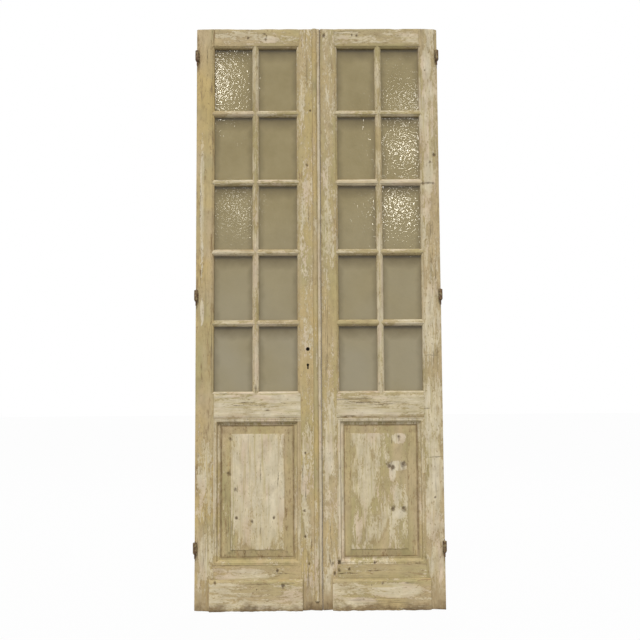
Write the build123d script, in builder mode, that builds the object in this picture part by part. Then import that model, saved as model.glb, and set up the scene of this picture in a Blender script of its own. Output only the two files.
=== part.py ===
from build123d import *
import os
from math import atan2, cos, degrees, radians, sin

os.makedirs("parts", exist_ok=True)

# Millimetres. +X runs to the right, +Y to the back and +Z up. The origin is at the foot of the pair, midway
# between its sides and midway in its depth.

# Whole leaf
pair_width = 1030.0
door_height = 2450.0
leaf_thickness = 45.0
meeting_gap = 4.0
left_width = 524.0

# Stile widths, from the leaf's edge to the glass and to the panel
left_hinge_to_glass = 76.0
left_hinge_to_panel = 76.0
left_meeting_to_glass = 98.0
left_meeting_to_panel = 86.0
right_hinge_to_glass = 80.0
right_hinge_to_panel = 77.0
right_meeting_to_glass = 72.0
right_meeting_to_panel = 60.0

# Rail heights
bottom_rail_height = 185.0
panel_height = 598.0
lock_rail_height = 112.0
top_rail_height = 85.0

# Sticking, the moulded edge round the glass
sticking_width = 9.0
quirk_depth = 2.0
quirk_step = 1.0
lip_depth = 17.0
rebate_width = 9.0

# Glazing bars
bar_width = 28.0
bar_depth = 36.0
upright_bar_setback = 0.4
cross_bar_setback = 0.8
pane_rows = 5
cross_bar_count = pane_rows - 1
bar_tenon_length = 10.0
bar_tenon_height = 8.0
bar_tenon_thickness = 12.0
tenon_end_gap = 0.5

# Glass and putty
glass_thickness = 3.0
glass_edge_clearance = 1.0
putty_depth = 10.0
putty_thin_edge = 1.0

# Rail tenons, each through its stile
rail_tenon_thickness = 15.0
top_tenon_height = 50.0
top_tenon_shoulder = 18.0
lock_tenon_height = 78.0
lock_tenon_rise = 18.0
bottom_tenon_height = 140.0
bottom_tenon_rise = 24.0

# Raised panel
groove_depth = 12.0
groove_width = 10.0
panel_setback = 15.0
panel_play = 1.0
bevel_rise = 9.0
field_step = 2.0
back_field_rise = 5.0
back_field_margin = 26.0
field_margin_bottom = 60.0
field_margin_top = 63.0
left_field_margin_hinge = 72.0
left_field_margin_meeting = 68.0
right_field_margin_hinge = 73.0
right_field_margin_meeting = 56.0

# Panel moulding
moulding_width = 28.0
moulding_proud = 1.5
moulding_fillet = 4.5
moulding_toe = 2.5
moulding_toe_thickness = 3.0
mitre_gap = 0.2

# Plinth board
plinth_height = 128.0
plinth_thickness = 12.0
plinth_chamfer = 8.0
left_plinth_from_hinge = 60.5
left_plinth_from_meeting = 80.0
right_plinth_from_hinge = 60.0
right_plinth_from_meeting = 38.0

# Astragal bead on the left leaf
bead_width = 21.0
bead_rise = 9.0
bead_from_meeting = 21.5
bead_foot = 38.0

# Hinges
hinge_low_from_foot = 257.0
hinge_high_from_top = 120.0
hinge_middle_rise = 4.5
knuckle_radius = 8.5
knuckle_height = 45.0
knuckle_round = 3.5
knuckle_inset = 2.5
knuckle_to_face = 0.2
flap_thickness = 2.5
flap_height = 55.0
flap_width = 35.0
pin_radius = 3.0
pin_clearance = 0.05
pin_engagement = 36.0
pin_end_gap = 1.0
pin_free_length = 18.0
pin_point = 1.0
collar_radius = 6.0
collar_height = 3.0
collar_gap = 0.1

# Hinge screws
screw_radius = 2.0
screw_length = 22.0
screw_head_radius = 3.8
screw_clearance = 0.05
screw_pitch = 18.0
screw_row_stagger = 5.0

# Mortise lock in the left leaf
spindle_height = 1071.0
lock_pitch = 66.0
backset = 55.0
spindle_hole_radius = 8.0
keyhole_radius = 5.5
keyhole_slot_width = 6.0
keyhole_slot_drop = 18.0
case_depth = 71.0
case_height = 140.0
case_thickness = 15.0
case_wall = 2.0
case_above_spindle = 36.0
case_clearance = 0.2
forend_height = 160.0
forend_width = 20.0
forend_thickness = 3.0
bolt_clearance = 0.15
latch_height = 20.0
latch_head_length = 21.0
latch_travel = 10.0
latch_riser = 4.0
latch_bar_height = 14.0
dead_bolt_height = 20.0
dead_bolt_above_key = 12.0
dead_bolt_length = 68.0
dead_bolt_head_length = 28.0
dead_bolt_tail_step = 5.0
dead_bolt_talon = 10.0
follower_radius = 13.0
journal_radius = 9.0
journal_clearance = 0.05
follower_side_gap = 0.3
follower_reach = 20.0
follower_arm = 3.0
follower_nose_radius = 3.0
nose_clearance = 0.3
spindle_square = 7.0

# Strike plate in the right leaf
strike_thickness = 2.5
pocket_margin = 2.0
pocket_depth = 18.0

# Depths, from the front of the knuckles to the back of the leaf
overall_depth = leaf_thickness + knuckle_to_face + 2 * knuckle_radius
back = overall_depth / 2
face = back - leaf_thickness
pin_y = face - knuckle_to_face - knuckle_radius
middle_y = (face + back) / 2
sticking_radius = sticking_width - quirk_step
lip = face + lip_depth
bar_back = face + bar_depth
bar_tenon_y = (lip + bar_back) / 2
panel_front = face + panel_setback
panel_back = panel_front + groove_width
field_front = panel_front - bevel_rise - field_step

# Heights
panel_foot = bottom_rail_height
panel_head = panel_foot + panel_height
glass_foot = panel_head + lock_rail_height
glass_head = door_height - top_rail_height
pane_height = (glass_head - glass_foot - cross_bar_count * bar_width) / pane_rows
hinge_low = hinge_low_from_foot
hinge_high = door_height - hinge_high_from_top
hinge_middle = (hinge_low + hinge_high) / 2 + hinge_middle_rise
hinge_heights = (hinge_low, hinge_middle, hinge_high)
key_height = spindle_height - lock_pitch

# Lock geometry that follows from the sizes above
latch_swing = latch_travel / follower_reach
rest_lean = latch_swing / 2
case_top = spindle_height + case_above_spindle
case_foot = case_top - case_height
forend_foot = case_foot - (forend_height - case_height) / 2
dead_bolt_foot = key_height + dead_bolt_above_key
bolt_thickness = case_thickness - 2 * case_wall - 2 * bolt_clearance


class Leaf:
    """One leaf, measured across from its hinge edge at 0 to its meeting edge at its width."""

    def __init__(self, name, side, width, hinge, meeting, plinth, field):
        self.name = name
        self.side = side
        self.width = width
        self.hinge_glass, self.hinge_panel = hinge
        self.glass_end = width - meeting[0]
        self.panel_end = width - meeting[1]
        self.plinth_start, self.plinth_end = plinth[0], width - plinth[1]
        self.field_hinge, self.field_meeting = field
        self.bar_centre = (self.hinge_glass + self.glass_end) / 2

    def x(self, across):
        """World X of a distance across the leaf."""
        return self.side * (pair_width / 2 - across)


left = Leaf(
    "left",
    -1,
    left_width,
    (left_hinge_to_glass, left_hinge_to_panel),
    (left_meeting_to_glass, left_meeting_to_panel),
    (left_plinth_from_hinge, left_plinth_from_meeting),
    (left_field_margin_hinge, left_field_margin_meeting),
)
right = Leaf(
    "right",
    1,
    pair_width - meeting_gap - left_width,
    (right_hinge_to_glass, right_hinge_to_panel),
    (right_meeting_to_glass, right_meeting_to_panel),
    (right_plinth_from_hinge, right_plinth_from_meeting),
    (right_field_margin_hinge, right_field_margin_meeting),
)


def save(piece, name):
    """Label a finished piece and write its file."""
    piece.part.label = name
    export_step(piece.part, f"parts/{name}.step")


def block(leaf, across, deep, high, mode=Mode.ADD):
    """Square timber between two distances across the leaf, two depths and two heights."""
    start, end = leaf.x(across[0]), leaf.x(across[1])
    centre = ((start + end) / 2, sum(deep) / 2, sum(high) / 2)
    with Locations(centre):
        Box(abs(end - start), deep[1] - deep[0], high[1] - high[0], mode=mode)


def sticking(put, front, depth_end):
    """Quirk, quarter round, lip and glass rebate of one sight edge. put(inset, y) places a point."""
    round_top = front + quirk_depth
    round_foot = round_top + sticking_radius
    shoulder = sticking_radius * sin(radians(45))
    Line(put(sticking_width, front), put(sticking_width, round_top))
    ThreePointArc(
        put(sticking_width, round_top),
        put(sticking_width - shoulder, round_foot - shoulder),
        put(quirk_step, round_foot),
    )
    Polyline(
        put(quirk_step, round_foot),
        put(0, round_foot),
        put(0, lip),
        put(rebate_width, lip),
        put(rebate_width, depth_end),
    )


def bar_section(one_edge, other_edge, front):
    """Section of a glazing bar between two sight edges, each given as a put function."""
    sticking(one_edge, front, bar_back)
    sticking(other_edge, front, bar_back)
    Line(one_edge(sticking_width, front), other_edge(sticking_width, front))
    Line(one_edge(rebate_width, bar_back), other_edge(rebate_width, bar_back))


def cross_bar_heights():
    """Centre height of each cross bar, from the top down."""
    pitch = pane_height + bar_width
    return [glass_head + bar_width / 2 - pitch * (row + 1) for row in range(cross_bar_count)]


def tenon_band(centre, size):
    """Low and high limits of a tenon or mortise about its centre."""
    return (centre - size / 2, centre + size / 2)


def rail_tenon_heights():
    """Low and high limits of the three rail tenons."""
    top = glass_head + top_tenon_shoulder
    lock = panel_head + lock_tenon_rise
    return [
        (top, top + top_tenon_height),
        (lock, lock + lock_tenon_height),
        (bottom_tenon_rise, bottom_tenon_rise + bottom_tenon_height),
    ]


def screw_places():
    """Depth and height of each screw in a flap, from the hinge's centre."""
    depth = face + flap_width / 2
    return [
        (depth - screw_row_stagger, -screw_pitch),
        (depth + screw_row_stagger, 0),
        (depth - screw_row_stagger, screw_pitch),
    ]


def screw_axis_plane(leaf, deep, height):
    """Plane on the hinge edge whose normal points out of the leaf."""
    return Plane(origin=(leaf.x(0), deep, height), x_dir=(0, 1, 0), z_dir=(leaf.side, 0, 0))


def cut_hinge_seats(leaf):
    """Recess for each hinge flap, and the holes of its screws."""
    for height in hinge_heights:
        high = tenon_band(height, flap_height)
        block(leaf, (0, flap_thickness), (face, face + flap_width), high, Mode.SUBTRACT)
        for deep, rise in screw_places():
            with Locations(screw_axis_plane(leaf, deep, height + rise)):
                Cylinder(
                    screw_radius,
                    screw_length,
                    align=(Align.CENTER, Align.CENTER, Align.MAX),
                    mode=Mode.SUBTRACT,
                )


def lock_plane(height):
    """Plane across the leaf's depth at the backset, with its normal towards the front."""
    return Plane(
        origin=(left.x(left.width - backset), middle_y, height), x_dir=(1, 0, 0), z_dir=(0, -1, 0)
    )


def cut_keyhole(thickness):
    """Keyhole, a round head over a straight slot, through a thickness about the leaf's middle."""
    with BuildSketch(lock_plane(key_height)) as keyhole:
        Circle(keyhole_radius)
        with Locations((0, -keyhole_slot_drop / 2)):
            Rectangle(keyhole_slot_width, keyhole_slot_drop)
    extrude(keyhole.sketch, amount=thickness / 2, both=True, mode=Mode.SUBTRACT)


def cut_lock_seat(leaf):
    """Mortise for the lock's case and forend, with the spindle hole and the keyhole."""
    high = (case_foot - case_clearance, case_top + case_clearance)
    half = case_thickness / 2 + case_clearance
    deepest = leaf.width - forend_thickness - case_depth - case_clearance
    block(leaf, (deepest, leaf.width), (middle_y - half, middle_y + half), high, Mode.SUBTRACT)
    block(
        leaf,
        (leaf.width - forend_thickness, leaf.width),
        tenon_band(middle_y, forend_width),
        (forend_foot, forend_foot + forend_height),
        Mode.SUBTRACT,
    )
    with Locations(lock_plane(spindle_height)):
        Cylinder(spindle_hole_radius, leaf_thickness, mode=Mode.SUBTRACT)
    cut_keyhole(leaf_thickness)


def bolt_pockets():
    """Height limits of the latch pocket and of the dead bolt pocket."""
    latch = tenon_band(spindle_height, latch_height + 2 * pocket_margin)
    dead = (dead_bolt_foot - pocket_margin, dead_bolt_foot + dead_bolt_height + pocket_margin)
    return [latch, dead]


def cut_strike_seat(leaf):
    """Recess for the strike plate, and the two pockets behind it."""
    deep = tenon_band(middle_y, forend_width)
    high = (forend_foot, forend_foot + forend_height)
    block(leaf, (leaf.width - strike_thickness, leaf.width), deep, high, Mode.SUBTRACT)
    pocket_y = tenon_band(middle_y, bolt_thickness + 2 * pocket_margin)
    for high in bolt_pockets():
        block(leaf, (leaf.width - pocket_depth, leaf.width), pocket_y, high, Mode.SUBTRACT)


def make_stile(leaf, at_hinge):
    """Full-height stile: moulded and rebated beside the glass, grooved beside the panel."""
    outer = 0 if at_hinge else leaf.width
    glass_edge = leaf.hinge_glass if at_hinge else leaf.glass_end
    panel_edge = leaf.hinge_panel if at_hinge else leaf.panel_end
    inward = -1 if at_hinge else 1

    def put(inset, y):
        return (leaf.x(glass_edge + inward * inset), y)

    body = tuple(sorted((outer, panel_edge)))
    glazed_foot = glass_foot - sticking_width
    glazed_head = glass_head + sticking_width
    with BuildPart() as stile:
        with BuildSketch(Plane.XY.offset(glazed_foot)):
            with BuildLine():
                sticking(put, face, back)
                Polyline(
                    put(rebate_width, back),
                    (leaf.x(outer), back),
                    (leaf.x(outer), face),
                    put(sticking_width, face),
                )
            make_face()
        extrude(amount=glazed_head - glazed_foot)
        block(leaf, body, (face, back), (0, glazed_foot))
        block(leaf, body, (face, back), (glazed_head, door_height))

        groove = tuple(sorted((panel_edge, panel_edge + inward * groove_depth)))
        groove_high = (panel_foot - groove_depth, panel_head + groove_depth)
        block(leaf, groove, (panel_front, panel_back), groove_high, Mode.SUBTRACT)
        tenon_y = tenon_band(middle_y, rail_tenon_thickness)
        for high in rail_tenon_heights():
            block(leaf, body, tenon_y, high, Mode.SUBTRACT)
        rebate_wall = glass_edge + inward * rebate_width
        socket = tuple(sorted((glass_edge, rebate_wall + inward * bar_tenon_length)))
        bar_y = tenon_band(bar_tenon_y, bar_tenon_thickness)
        for height in cross_bar_heights():
            high = tenon_band(height, bar_tenon_height)
            block(leaf, socket, bar_y, high, Mode.SUBTRACT)
    return stile


def cut_meeting_seats(leaf):
    """Lock seat in the left leaf, strike seat in the right one."""
    if leaf is left:
        cut_lock_seat(leaf)
    else:
        cut_strike_seat(leaf)


def fit_stile(leaf, stile, at_hinge):
    """Stile with the seats of its hinges, lock or strike cut."""
    with BuildPart() as fitted:
        add(stile.part)
        if at_hinge:
            cut_hinge_seats(leaf)
        else:
            cut_meeting_seats(leaf)
    return fitted


def make_rail(leaf, stiles, outline, bar_socket=None):
    """Rail of one outline in depth and height, its ends scribed to the stiles and tenoned through them."""
    ends = sorted((leaf.x(0), leaf.x(leaf.width)))
    with BuildPart() as rail:
        with BuildSketch(Plane.YZ.offset(ends[0])):
            with BuildLine():
                outline()
            make_face()
        extrude(amount=ends[1] - ends[0])
        if bar_socket:
            across = tenon_band(leaf.bar_centre, bar_tenon_height)
            bar_y = tenon_band(bar_tenon_y, bar_tenon_thickness)
            block(leaf, across, bar_y, bar_socket, Mode.SUBTRACT)
        for stile in stiles:
            add(stile.part, mode=Mode.SUBTRACT)
        cut_meeting_seats(leaf)
    return rail


def top_rail_outline():
    def put(inset, y):
        return (y, glass_head + inset)

    sticking(put, face, back)
    Polyline(put(rebate_width, back), (back, door_height), (face, door_height), put(sticking_width, face))


def lock_rail_outline():
    def put(inset, y):
        return (y, glass_foot - inset)

    sticking(put, face, back)
    Polyline(
        put(rebate_width, back),
        (back, panel_head),
        (panel_back, panel_head),
        (panel_back, panel_head + groove_depth),
        (panel_front, panel_head + groove_depth),
        (panel_front, panel_head),
        (face, panel_head),
        put(sticking_width, face),
    )


def bottom_rail_outline():
    Polyline(
        (face, 0),
        (back, 0),
        (back, panel_foot),
        (panel_back, panel_foot),
        (panel_back, panel_foot - groove_depth),
        (panel_front, panel_foot - groove_depth),
        (panel_front, panel_foot),
        (face, panel_foot),
        close=True,
    )


def make_upright_bar(leaf, rails):
    """Middle glazing bar, scribed and stub tenoned into the rails, slotted for the cross bars."""
    reach = rebate_width + bar_tenon_length
    half = bar_width / 2

    def near(inset, y):
        return (leaf.x(leaf.bar_centre - half + inset), y)

    def far(inset, y):
        return (leaf.x(leaf.bar_centre + half - inset), y)

    with BuildPart() as bar:
        with BuildSketch(Plane.XY.offset(glass_foot - reach)):
            with BuildLine():
                bar_section(near, far, face + upright_bar_setback)
            make_face()
        extrude(amount=glass_head - glass_foot + 2 * reach)
        bar_y = tenon_band(bar_tenon_y, bar_tenon_thickness)
        across = tenon_band(leaf.bar_centre, bar_width)
        for height in cross_bar_heights():
            high = tenon_band(height, bar_tenon_height)
            block(leaf, across, bar_y, high, Mode.SUBTRACT)
        for rail in rails:
            add(rail.part, mode=Mode.SUBTRACT)
    return bar


def make_short_bar(leaf, height, span, neighbours):
    """Short cross bar between two distances across the leaf, scribed to what it meets at its ends."""
    half = bar_width / 2

    def below(inset, y):
        return (y, height - half + inset)

    def above(inset, y):
        return (y, height + half - inset)

    ends = sorted(leaf.x(end) for end in span)
    with BuildPart() as bar:
        with BuildSketch(Plane.YZ.offset(ends[0])):
            with BuildLine():
                bar_section(below, above, face + cross_bar_setback)
            make_face()
        extrude(amount=ends[1] - ends[0])
        for neighbour in neighbours:
            add(neighbour.part, mode=Mode.SUBTRACT)
    return bar


def make_cross_bar(leaf, height, stiles, upright):
    """Two short bars on one line, from each stile to the upright bar, with stub tenons."""
    reach = rebate_width + bar_tenon_length
    hinge_span = (leaf.hinge_glass - reach, leaf.bar_centre - tenon_end_gap)
    meeting_span = (leaf.bar_centre + tenon_end_gap, leaf.glass_end + reach)
    hinge_side = make_short_bar(leaf, height, hinge_span, (stiles[0], upright))
    meeting_side = make_short_bar(leaf, height, meeting_span, (stiles[1], upright))
    with BuildPart() as bars:
        add(hinge_side.part)
        add(meeting_side.part)
    return bars


def pane_openings(leaf):
    """Name, limits across and limits in height of each pane's sight size, from the top left."""
    half = bar_width / 2
    columns = [(leaf.hinge_glass, leaf.bar_centre - half), (leaf.bar_centre + half, leaf.glass_end)]
    if leaf.side > 0:
        columns.reverse()
    for row in range(pane_rows):
        head = glass_head - row * (pane_height + bar_width)
        for letter, column in zip("ab", columns):
            yield f"{row + 1}{letter}", column, (head - pane_height, head)


def grown(limits, margin):
    """A pair of limits moved apart by a margin at each end."""
    return (limits[0] - margin, limits[1] + margin)


def make_pane(leaf, across, high):
    """Sheet of glass against the lip."""
    lap = rebate_width - glass_edge_clearance
    with BuildPart() as pane:
        block(leaf, grown(across, lap), (lip, lip + glass_thickness), grown(high, lap))
    return pane


def make_putty(leaf):
    """Bevelled fillet of putty round the back of each pane."""
    glass_back = lip + glass_thickness
    with BuildPart() as putty:
        for _, across, high in pane_openings(leaf):
            centre_x = (leaf.x(across[0]) + leaf.x(across[1])) / 2
            centre = (centre_x, glass_back, sum(high) / 2)
            width = across[1] - across[0]
            height = high[1] - high[0]
            thin = 2 * (rebate_width - putty_thin_edge)
            seat = Plane(origin=centre, x_dir=(-1, 0, 0), z_dir=(0, 1, 0))
            deep = (glass_back, glass_back + putty_depth)
            block(leaf, grown(across, rebate_width), deep, grown(high, rebate_width))
            with BuildSketch(seat):
                Rectangle(width, height)
            with BuildSketch(seat.offset(putty_depth)):
                Rectangle(width + thin, height + thin)
            loft(mode=Mode.SUBTRACT)
    return putty


def rectangle_between(leaf, across, high):
    """Rectangle on a plane that faces the front, between limits across and in height."""
    with Locations(((leaf.x(across[0]) + leaf.x(across[1])) / 2, sum(high) / 2)):
        Rectangle(across[1] - across[0], high[1] - high[0])


def front_plane(y):
    """Upright plane at a depth, looking to the front, with +X across and +Z up."""
    return Plane(origin=(0, y, 0), x_dir=(1, 0, 0), z_dir=(0, -1, 0))


def make_panel(leaf):
    """Raised and fielded panel, its tongues in the grooves all round."""
    opening = (leaf.hinge_panel, leaf.panel_end)
    high = (panel_foot, panel_head)
    tongue = groove_depth - panel_play
    field = (opening[0] + leaf.field_hinge, opening[1] - leaf.field_meeting)
    field_high = (panel_foot + field_margin_bottom, panel_head - field_margin_top)
    with BuildPart() as panel:
        block(leaf, grown(opening, tongue), (panel_front, panel_back), grown(high, tongue))
        with BuildSketch(front_plane(panel_front)):
            rectangle_between(leaf, grown(opening, -moulding_width), grown(high, -moulding_width))
        with BuildSketch(front_plane(panel_front - bevel_rise)):
            rectangle_between(leaf, field, field_high)
        loft()
        block(leaf, field, (field_front, panel_front - bevel_rise), field_high)
        back_margin = -back_field_margin
        back_y = (panel_back, panel_back + back_field_rise)
        block(leaf, grown(opening, back_margin), back_y, grown(high, back_margin))
    return panel


def moulding_outline(put):
    """Fillet, ogee and toe of the panel moulding. put(inset, y) places a point from the opening's edge."""
    top = face - moulding_proud
    toe_y = panel_front - moulding_toe_thickness
    crown = face + quirk_step
    turn = (moulding_fillet + moulding_width - moulding_toe) / 2
    turn_y = (crown + toe_y) / 2
    bulge = (turn - moulding_fillet) / 4
    Polyline(
        put(moulding_fillet, crown),
        put(moulding_fillet, top),
        put(0, top),
        put(0, panel_front),
        put(moulding_width, panel_front),
        put(moulding_width, toe_y),
        put(moulding_width - moulding_toe, toe_y),
    )
    ThreePointArc(
        put(moulding_fillet, crown),
        put((moulding_fillet + turn) / 2 + bulge, (crown + turn_y) / 2 - bulge),
        put(turn, turn_y),
    )
    ThreePointArc(
        put(turn, turn_y),
        put((turn + moulding_width - moulding_toe) / 2 - bulge, (turn_y + toe_y) / 2 + bulge),
        put(moulding_width - moulding_toe, toe_y),
    )


def make_mitred_strip(plane, put, start, length, mitre):
    """Moulding extruded along one side of the opening and cut to its mitres."""
    with BuildPart() as strip:
        with BuildSketch(plane.offset(start)):
            with BuildLine():
                moulding_outline(put)
            make_face()
        extrude(amount=length)
        with BuildSketch(front_plane(panel_front)):
            with BuildLine():
                Polyline(*mitre, close=True)
            make_face()
        extrude(amount=overall_depth, mode=Mode.INTERSECT)
    return strip


def make_moulding(leaf):
    """Four mitred strips planted round the panel, with hairline open mitres."""
    low_x, high_x = sorted((leaf.x(leaf.hinge_panel), leaf.x(leaf.panel_end)))
    width = high_x - low_x
    inset = moulding_width

    def above_rail(step, y):
        return (y, panel_foot + step)

    def beside_stile(step, y):
        return (low_x + step, y)

    level_mitre = (
        (low_x + mitre_gap, panel_foot),
        (high_x - mitre_gap, panel_foot),
        (high_x - mitre_gap - inset, panel_foot + inset),
        (low_x + mitre_gap + inset, panel_foot + inset),
    )
    upright_mitre = (
        (low_x, panel_foot + mitre_gap),
        (low_x + inset, panel_foot + mitre_gap + inset),
        (low_x + inset, panel_head - mitre_gap - inset),
        (low_x, panel_head - mitre_gap),
    )
    level = make_mitred_strip(Plane.YZ, above_rail, low_x, width, level_mitre)
    upright = make_mitred_strip(Plane.XY, beside_stile, panel_foot, panel_height, upright_mitre)
    with BuildPart() as moulding:
        add(level.part)
        mirror(level.part, about=Plane.XY.offset((panel_foot + panel_head) / 2))
        add(upright.part)
        mirror(upright.part, about=Plane.YZ.offset((low_x + high_x) / 2))
    return moulding


def make_plinth(leaf):
    """Plinth board on the face, its top front arris chamfered."""
    with BuildPart() as plinth:
        across = (leaf.plinth_start, leaf.plinth_end)
        block(leaf, across, (face - plinth_thickness, face), (0, plinth_height))
        top_edges = plinth.edges().filter_by(Axis.X).group_by(Axis.Z)[-1]
        chamfer(top_edges.sort_by(Axis.Y)[0], length=plinth_chamfer)
    return plinth


def knuckle_plane(leaf, height):
    """Upright plane through a hinge's axis, with its own X along world X and its own Y up."""
    return Plane(origin=(leaf.x(knuckle_inset), pin_y, height), x_dir=(1, 0, 0), z_dir=(0, -1, 0))


def make_hinge_halves(leaf):
    """Flap, rolled strap and knuckle of each hinge, the knuckle bored from below."""
    half = knuckle_height / 2
    straight = half - knuckle_round
    crown = knuckle_radius - knuckle_round
    with BuildPart() as halves:
        for height in hinge_heights:
            plane = knuckle_plane(leaf, height)
            axis = Axis(plane.origin, (0, 0, 1))
            with BuildSketch(plane):
                with BuildLine():
                    Polyline((crown, -half), (0, -half), (0, half), (crown, half))
                    RadiusArc((crown, half), (knuckle_radius, straight), knuckle_round)
                    Line((knuckle_radius, straight), (knuckle_radius, -straight))
                    RadiusArc((knuckle_radius, -straight), (crown, -half), knuckle_round)
                make_face()
            revolve(axis=axis)
            high = tenon_band(height, flap_height)
            block(leaf, (0, flap_thickness), (face, face + flap_width), high)
            strap = tenon_band(height, 2 * straight)
            block(leaf, (0, flap_thickness), (pin_y, face), strap)
            with Locations(plane.origin - Vector(0, 0, half)):
                Cylinder(
                    pin_radius + pin_clearance,
                    pin_engagement,
                    align=(Align.CENTER, Align.CENTER, Align.MIN),
                    mode=Mode.SUBTRACT,
                )
            for deep, rise in screw_places():
                with Locations(screw_axis_plane(leaf, deep, height + rise)):
                    CounterSinkHole(screw_radius + screw_clearance, screw_head_radius + screw_clearance)
    return halves


def make_hinge_screws(leaf):
    """Countersunk screws, three to a flap."""
    slope = screw_head_radius - screw_radius
    with BuildPart() as screws:
        for height in hinge_heights:
            for deep, rise in screw_places():
                plane = screw_axis_plane(leaf, deep, height + rise)
                with Locations(plane.offset(-slope)):
                    Cone(
                        screw_radius,
                        screw_head_radius,
                        slope,
                        align=(Align.CENTER, Align.CENTER, Align.MIN),
                    )
                with Locations(plane.offset(-slope)):
                    Cylinder(
                        screw_radius - screw_clearance,
                        screw_length - slope - screw_clearance,
                        align=(Align.CENTER, Align.CENTER, Align.MAX),
                    )
    return screws


def make_hinge_pins():
    """Pin of each hinge: a shank in the knuckle, a collar under it and a free end."""
    collar_top = -knuckle_height / 2 - collar_gap
    collar_foot = collar_top - collar_height
    foot = collar_foot - pin_free_length
    head = pin_engagement - knuckle_height / 2 - pin_end_gap
    with BuildPart() as pins:
        for leaf in (left, right):
            for height in hinge_heights:
                plane = knuckle_plane(leaf, height)
                with BuildSketch(plane):
                    with BuildLine():
                        Polyline(
                            (0, foot),
                            (pin_radius - pin_point, foot),
                            (pin_radius, foot + pin_point),
                            (pin_radius, collar_foot),
                            (collar_radius, collar_foot),
                            (collar_radius, collar_top),
                            (pin_radius, collar_top),
                            (pin_radius, head - pin_point),
                            (pin_radius - pin_point, head),
                            (0, head),
                            close=True,
                        )
                    make_face()
                revolve(axis=Axis(plane.origin, (0, 0, 1)))
    return pins


def make_bead():
    """Half-round astragal bead on the face of the left meeting stile."""
    centre = left.x(left.width - bead_from_meeting)
    half = bead_width / 2
    with BuildPart() as bead:
        with BuildSketch(Plane.XY.offset(bead_foot)):
            with BuildLine():
                ThreePointArc((centre - half, face), (centre, face - bead_rise), (centre + half, face))
                Line((centre + half, face), (centre - half, face))
            make_face()
        extrude(amount=door_height - bead_foot)
    return bead


def make_lock_case():
    """Flat case behind a forend, pierced for the follower, the key and both bolts."""
    edge = left.width
    case_back = edge - forend_thickness - case_depth
    case_y = tenon_band(middle_y, case_thickness)
    cavity_y = grown(case_y, -case_wall)
    with BuildPart() as case:
        block(left, (case_back, edge - forend_thickness), case_y, (case_foot, case_top))
        forend_high = (forend_foot, forend_foot + forend_height)
        block(left, (edge - forend_thickness, edge), tenon_band(middle_y, forend_width), forend_high)
        cavity = (case_back + case_wall, edge - forend_thickness)
        block(left, cavity, cavity_y, (case_foot + case_wall, case_top - case_wall), Mode.SUBTRACT)
        slot_y = tenon_band(middle_y, bolt_thickness + 2 * bolt_clearance)
        latch = tenon_band(spindle_height, latch_height + 2 * bolt_clearance)
        dead = grown((dead_bolt_foot, dead_bolt_foot + dead_bolt_height), bolt_clearance)
        for slot in (latch, dead):
            block(left, (edge - forend_thickness, edge), slot_y, slot, Mode.SUBTRACT)
        with Locations(lock_plane(spindle_height)):
            Cylinder(journal_radius + journal_clearance, case_thickness, mode=Mode.SUBTRACT)
        cut_keyhole(case_thickness)
    return case


def nose_place():
    """Centre of the follower's nose at rest, in the lock plane at the spindle."""
    return (-follower_reach * sin(rest_lean), follower_reach * cos(rest_lean))


def make_follower():
    """Follower with two journals, a square hole for the spindle and one arm with a round nose."""
    inner = case_thickness - 2 * case_wall - 2 * follower_side_gap
    plane = lock_plane(spindle_height)
    nose = nose_place()
    lean = degrees(atan2(-nose[0], nose[1]))
    with BuildPart() as follower:
        with BuildSketch(plane):
            Circle(follower_radius)
            with Locations(nose):
                Circle(follower_nose_radius)
            with Locations((nose[0] / 2, nose[1] / 2)):
                Rectangle(follower_arm, follower_reach, rotation=lean)
        extrude(amount=inner / 2, both=True)
        with BuildSketch(plane):
            Circle(journal_radius)
        extrude(amount=case_thickness / 2, both=True)
        with BuildSketch(plane):
            Rectangle(spindle_square, spindle_square)
        extrude(amount=case_thickness / 2, both=True, mode=Mode.SUBTRACT)
    return follower


def make_latch():
    """Latch bolt drawn back, its tail bar notched for the follower's nose, its head bevelled."""
    nose_across = left.width - backset + nose_place()[0]
    head_back = left.width - latch_head_length
    bar_foot = spindle_height + follower_radius + pocket_margin
    bar_head = bar_foot + latch_bar_height
    notch = follower_nose_radius + nose_clearance
    bar_back_end = nose_across - 2 * follower_nose_radius
    bolt_y = tenon_band(middle_y, bolt_thickness)
    with BuildPart() as latch:
        block(left, (head_back, left.width), bolt_y, tenon_band(spindle_height, latch_height))
        bevel_edges = latch.edges().filter_by(Axis.Z).group_by(Axis.X)[-1]
        chamfer(bevel_edges.sort_by(Axis.Y)[-1], length=latch_travel, length2=bolt_thickness - case_wall)
        riser = (head_back - latch_riser, head_back)
        block(left, riser, bolt_y, (spindle_height - latch_height / 2, bar_head))
        block(left, (bar_back_end, head_back), bolt_y, (bar_foot, bar_head))
        notch_head = spindle_height + follower_reach + notch
        block(left, tenon_band(nose_across, 2 * notch), bolt_y, (bar_foot, notch_head), Mode.SUBTRACT)
    return latch


def make_dead_bolt():
    """Dead bolt drawn back, with a talon notch above the key's path."""
    bolt_y = tenon_band(middle_y, bolt_thickness)
    top = dead_bolt_foot + dead_bolt_height
    head_back = left.width - dead_bolt_head_length
    tail_foot = dead_bolt_foot + dead_bolt_tail_step
    with BuildPart() as bolt:
        block(left, (head_back, left.width), bolt_y, (dead_bolt_foot, top))
        block(left, (left.width - dead_bolt_length, head_back), bolt_y, (tail_foot, top))
        talon = tenon_band(left.width - backset, dead_bolt_talon)
        block(left, talon, bolt_y, (tail_foot, tail_foot + dead_bolt_tail_step), Mode.SUBTRACT)
    return bolt


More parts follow.
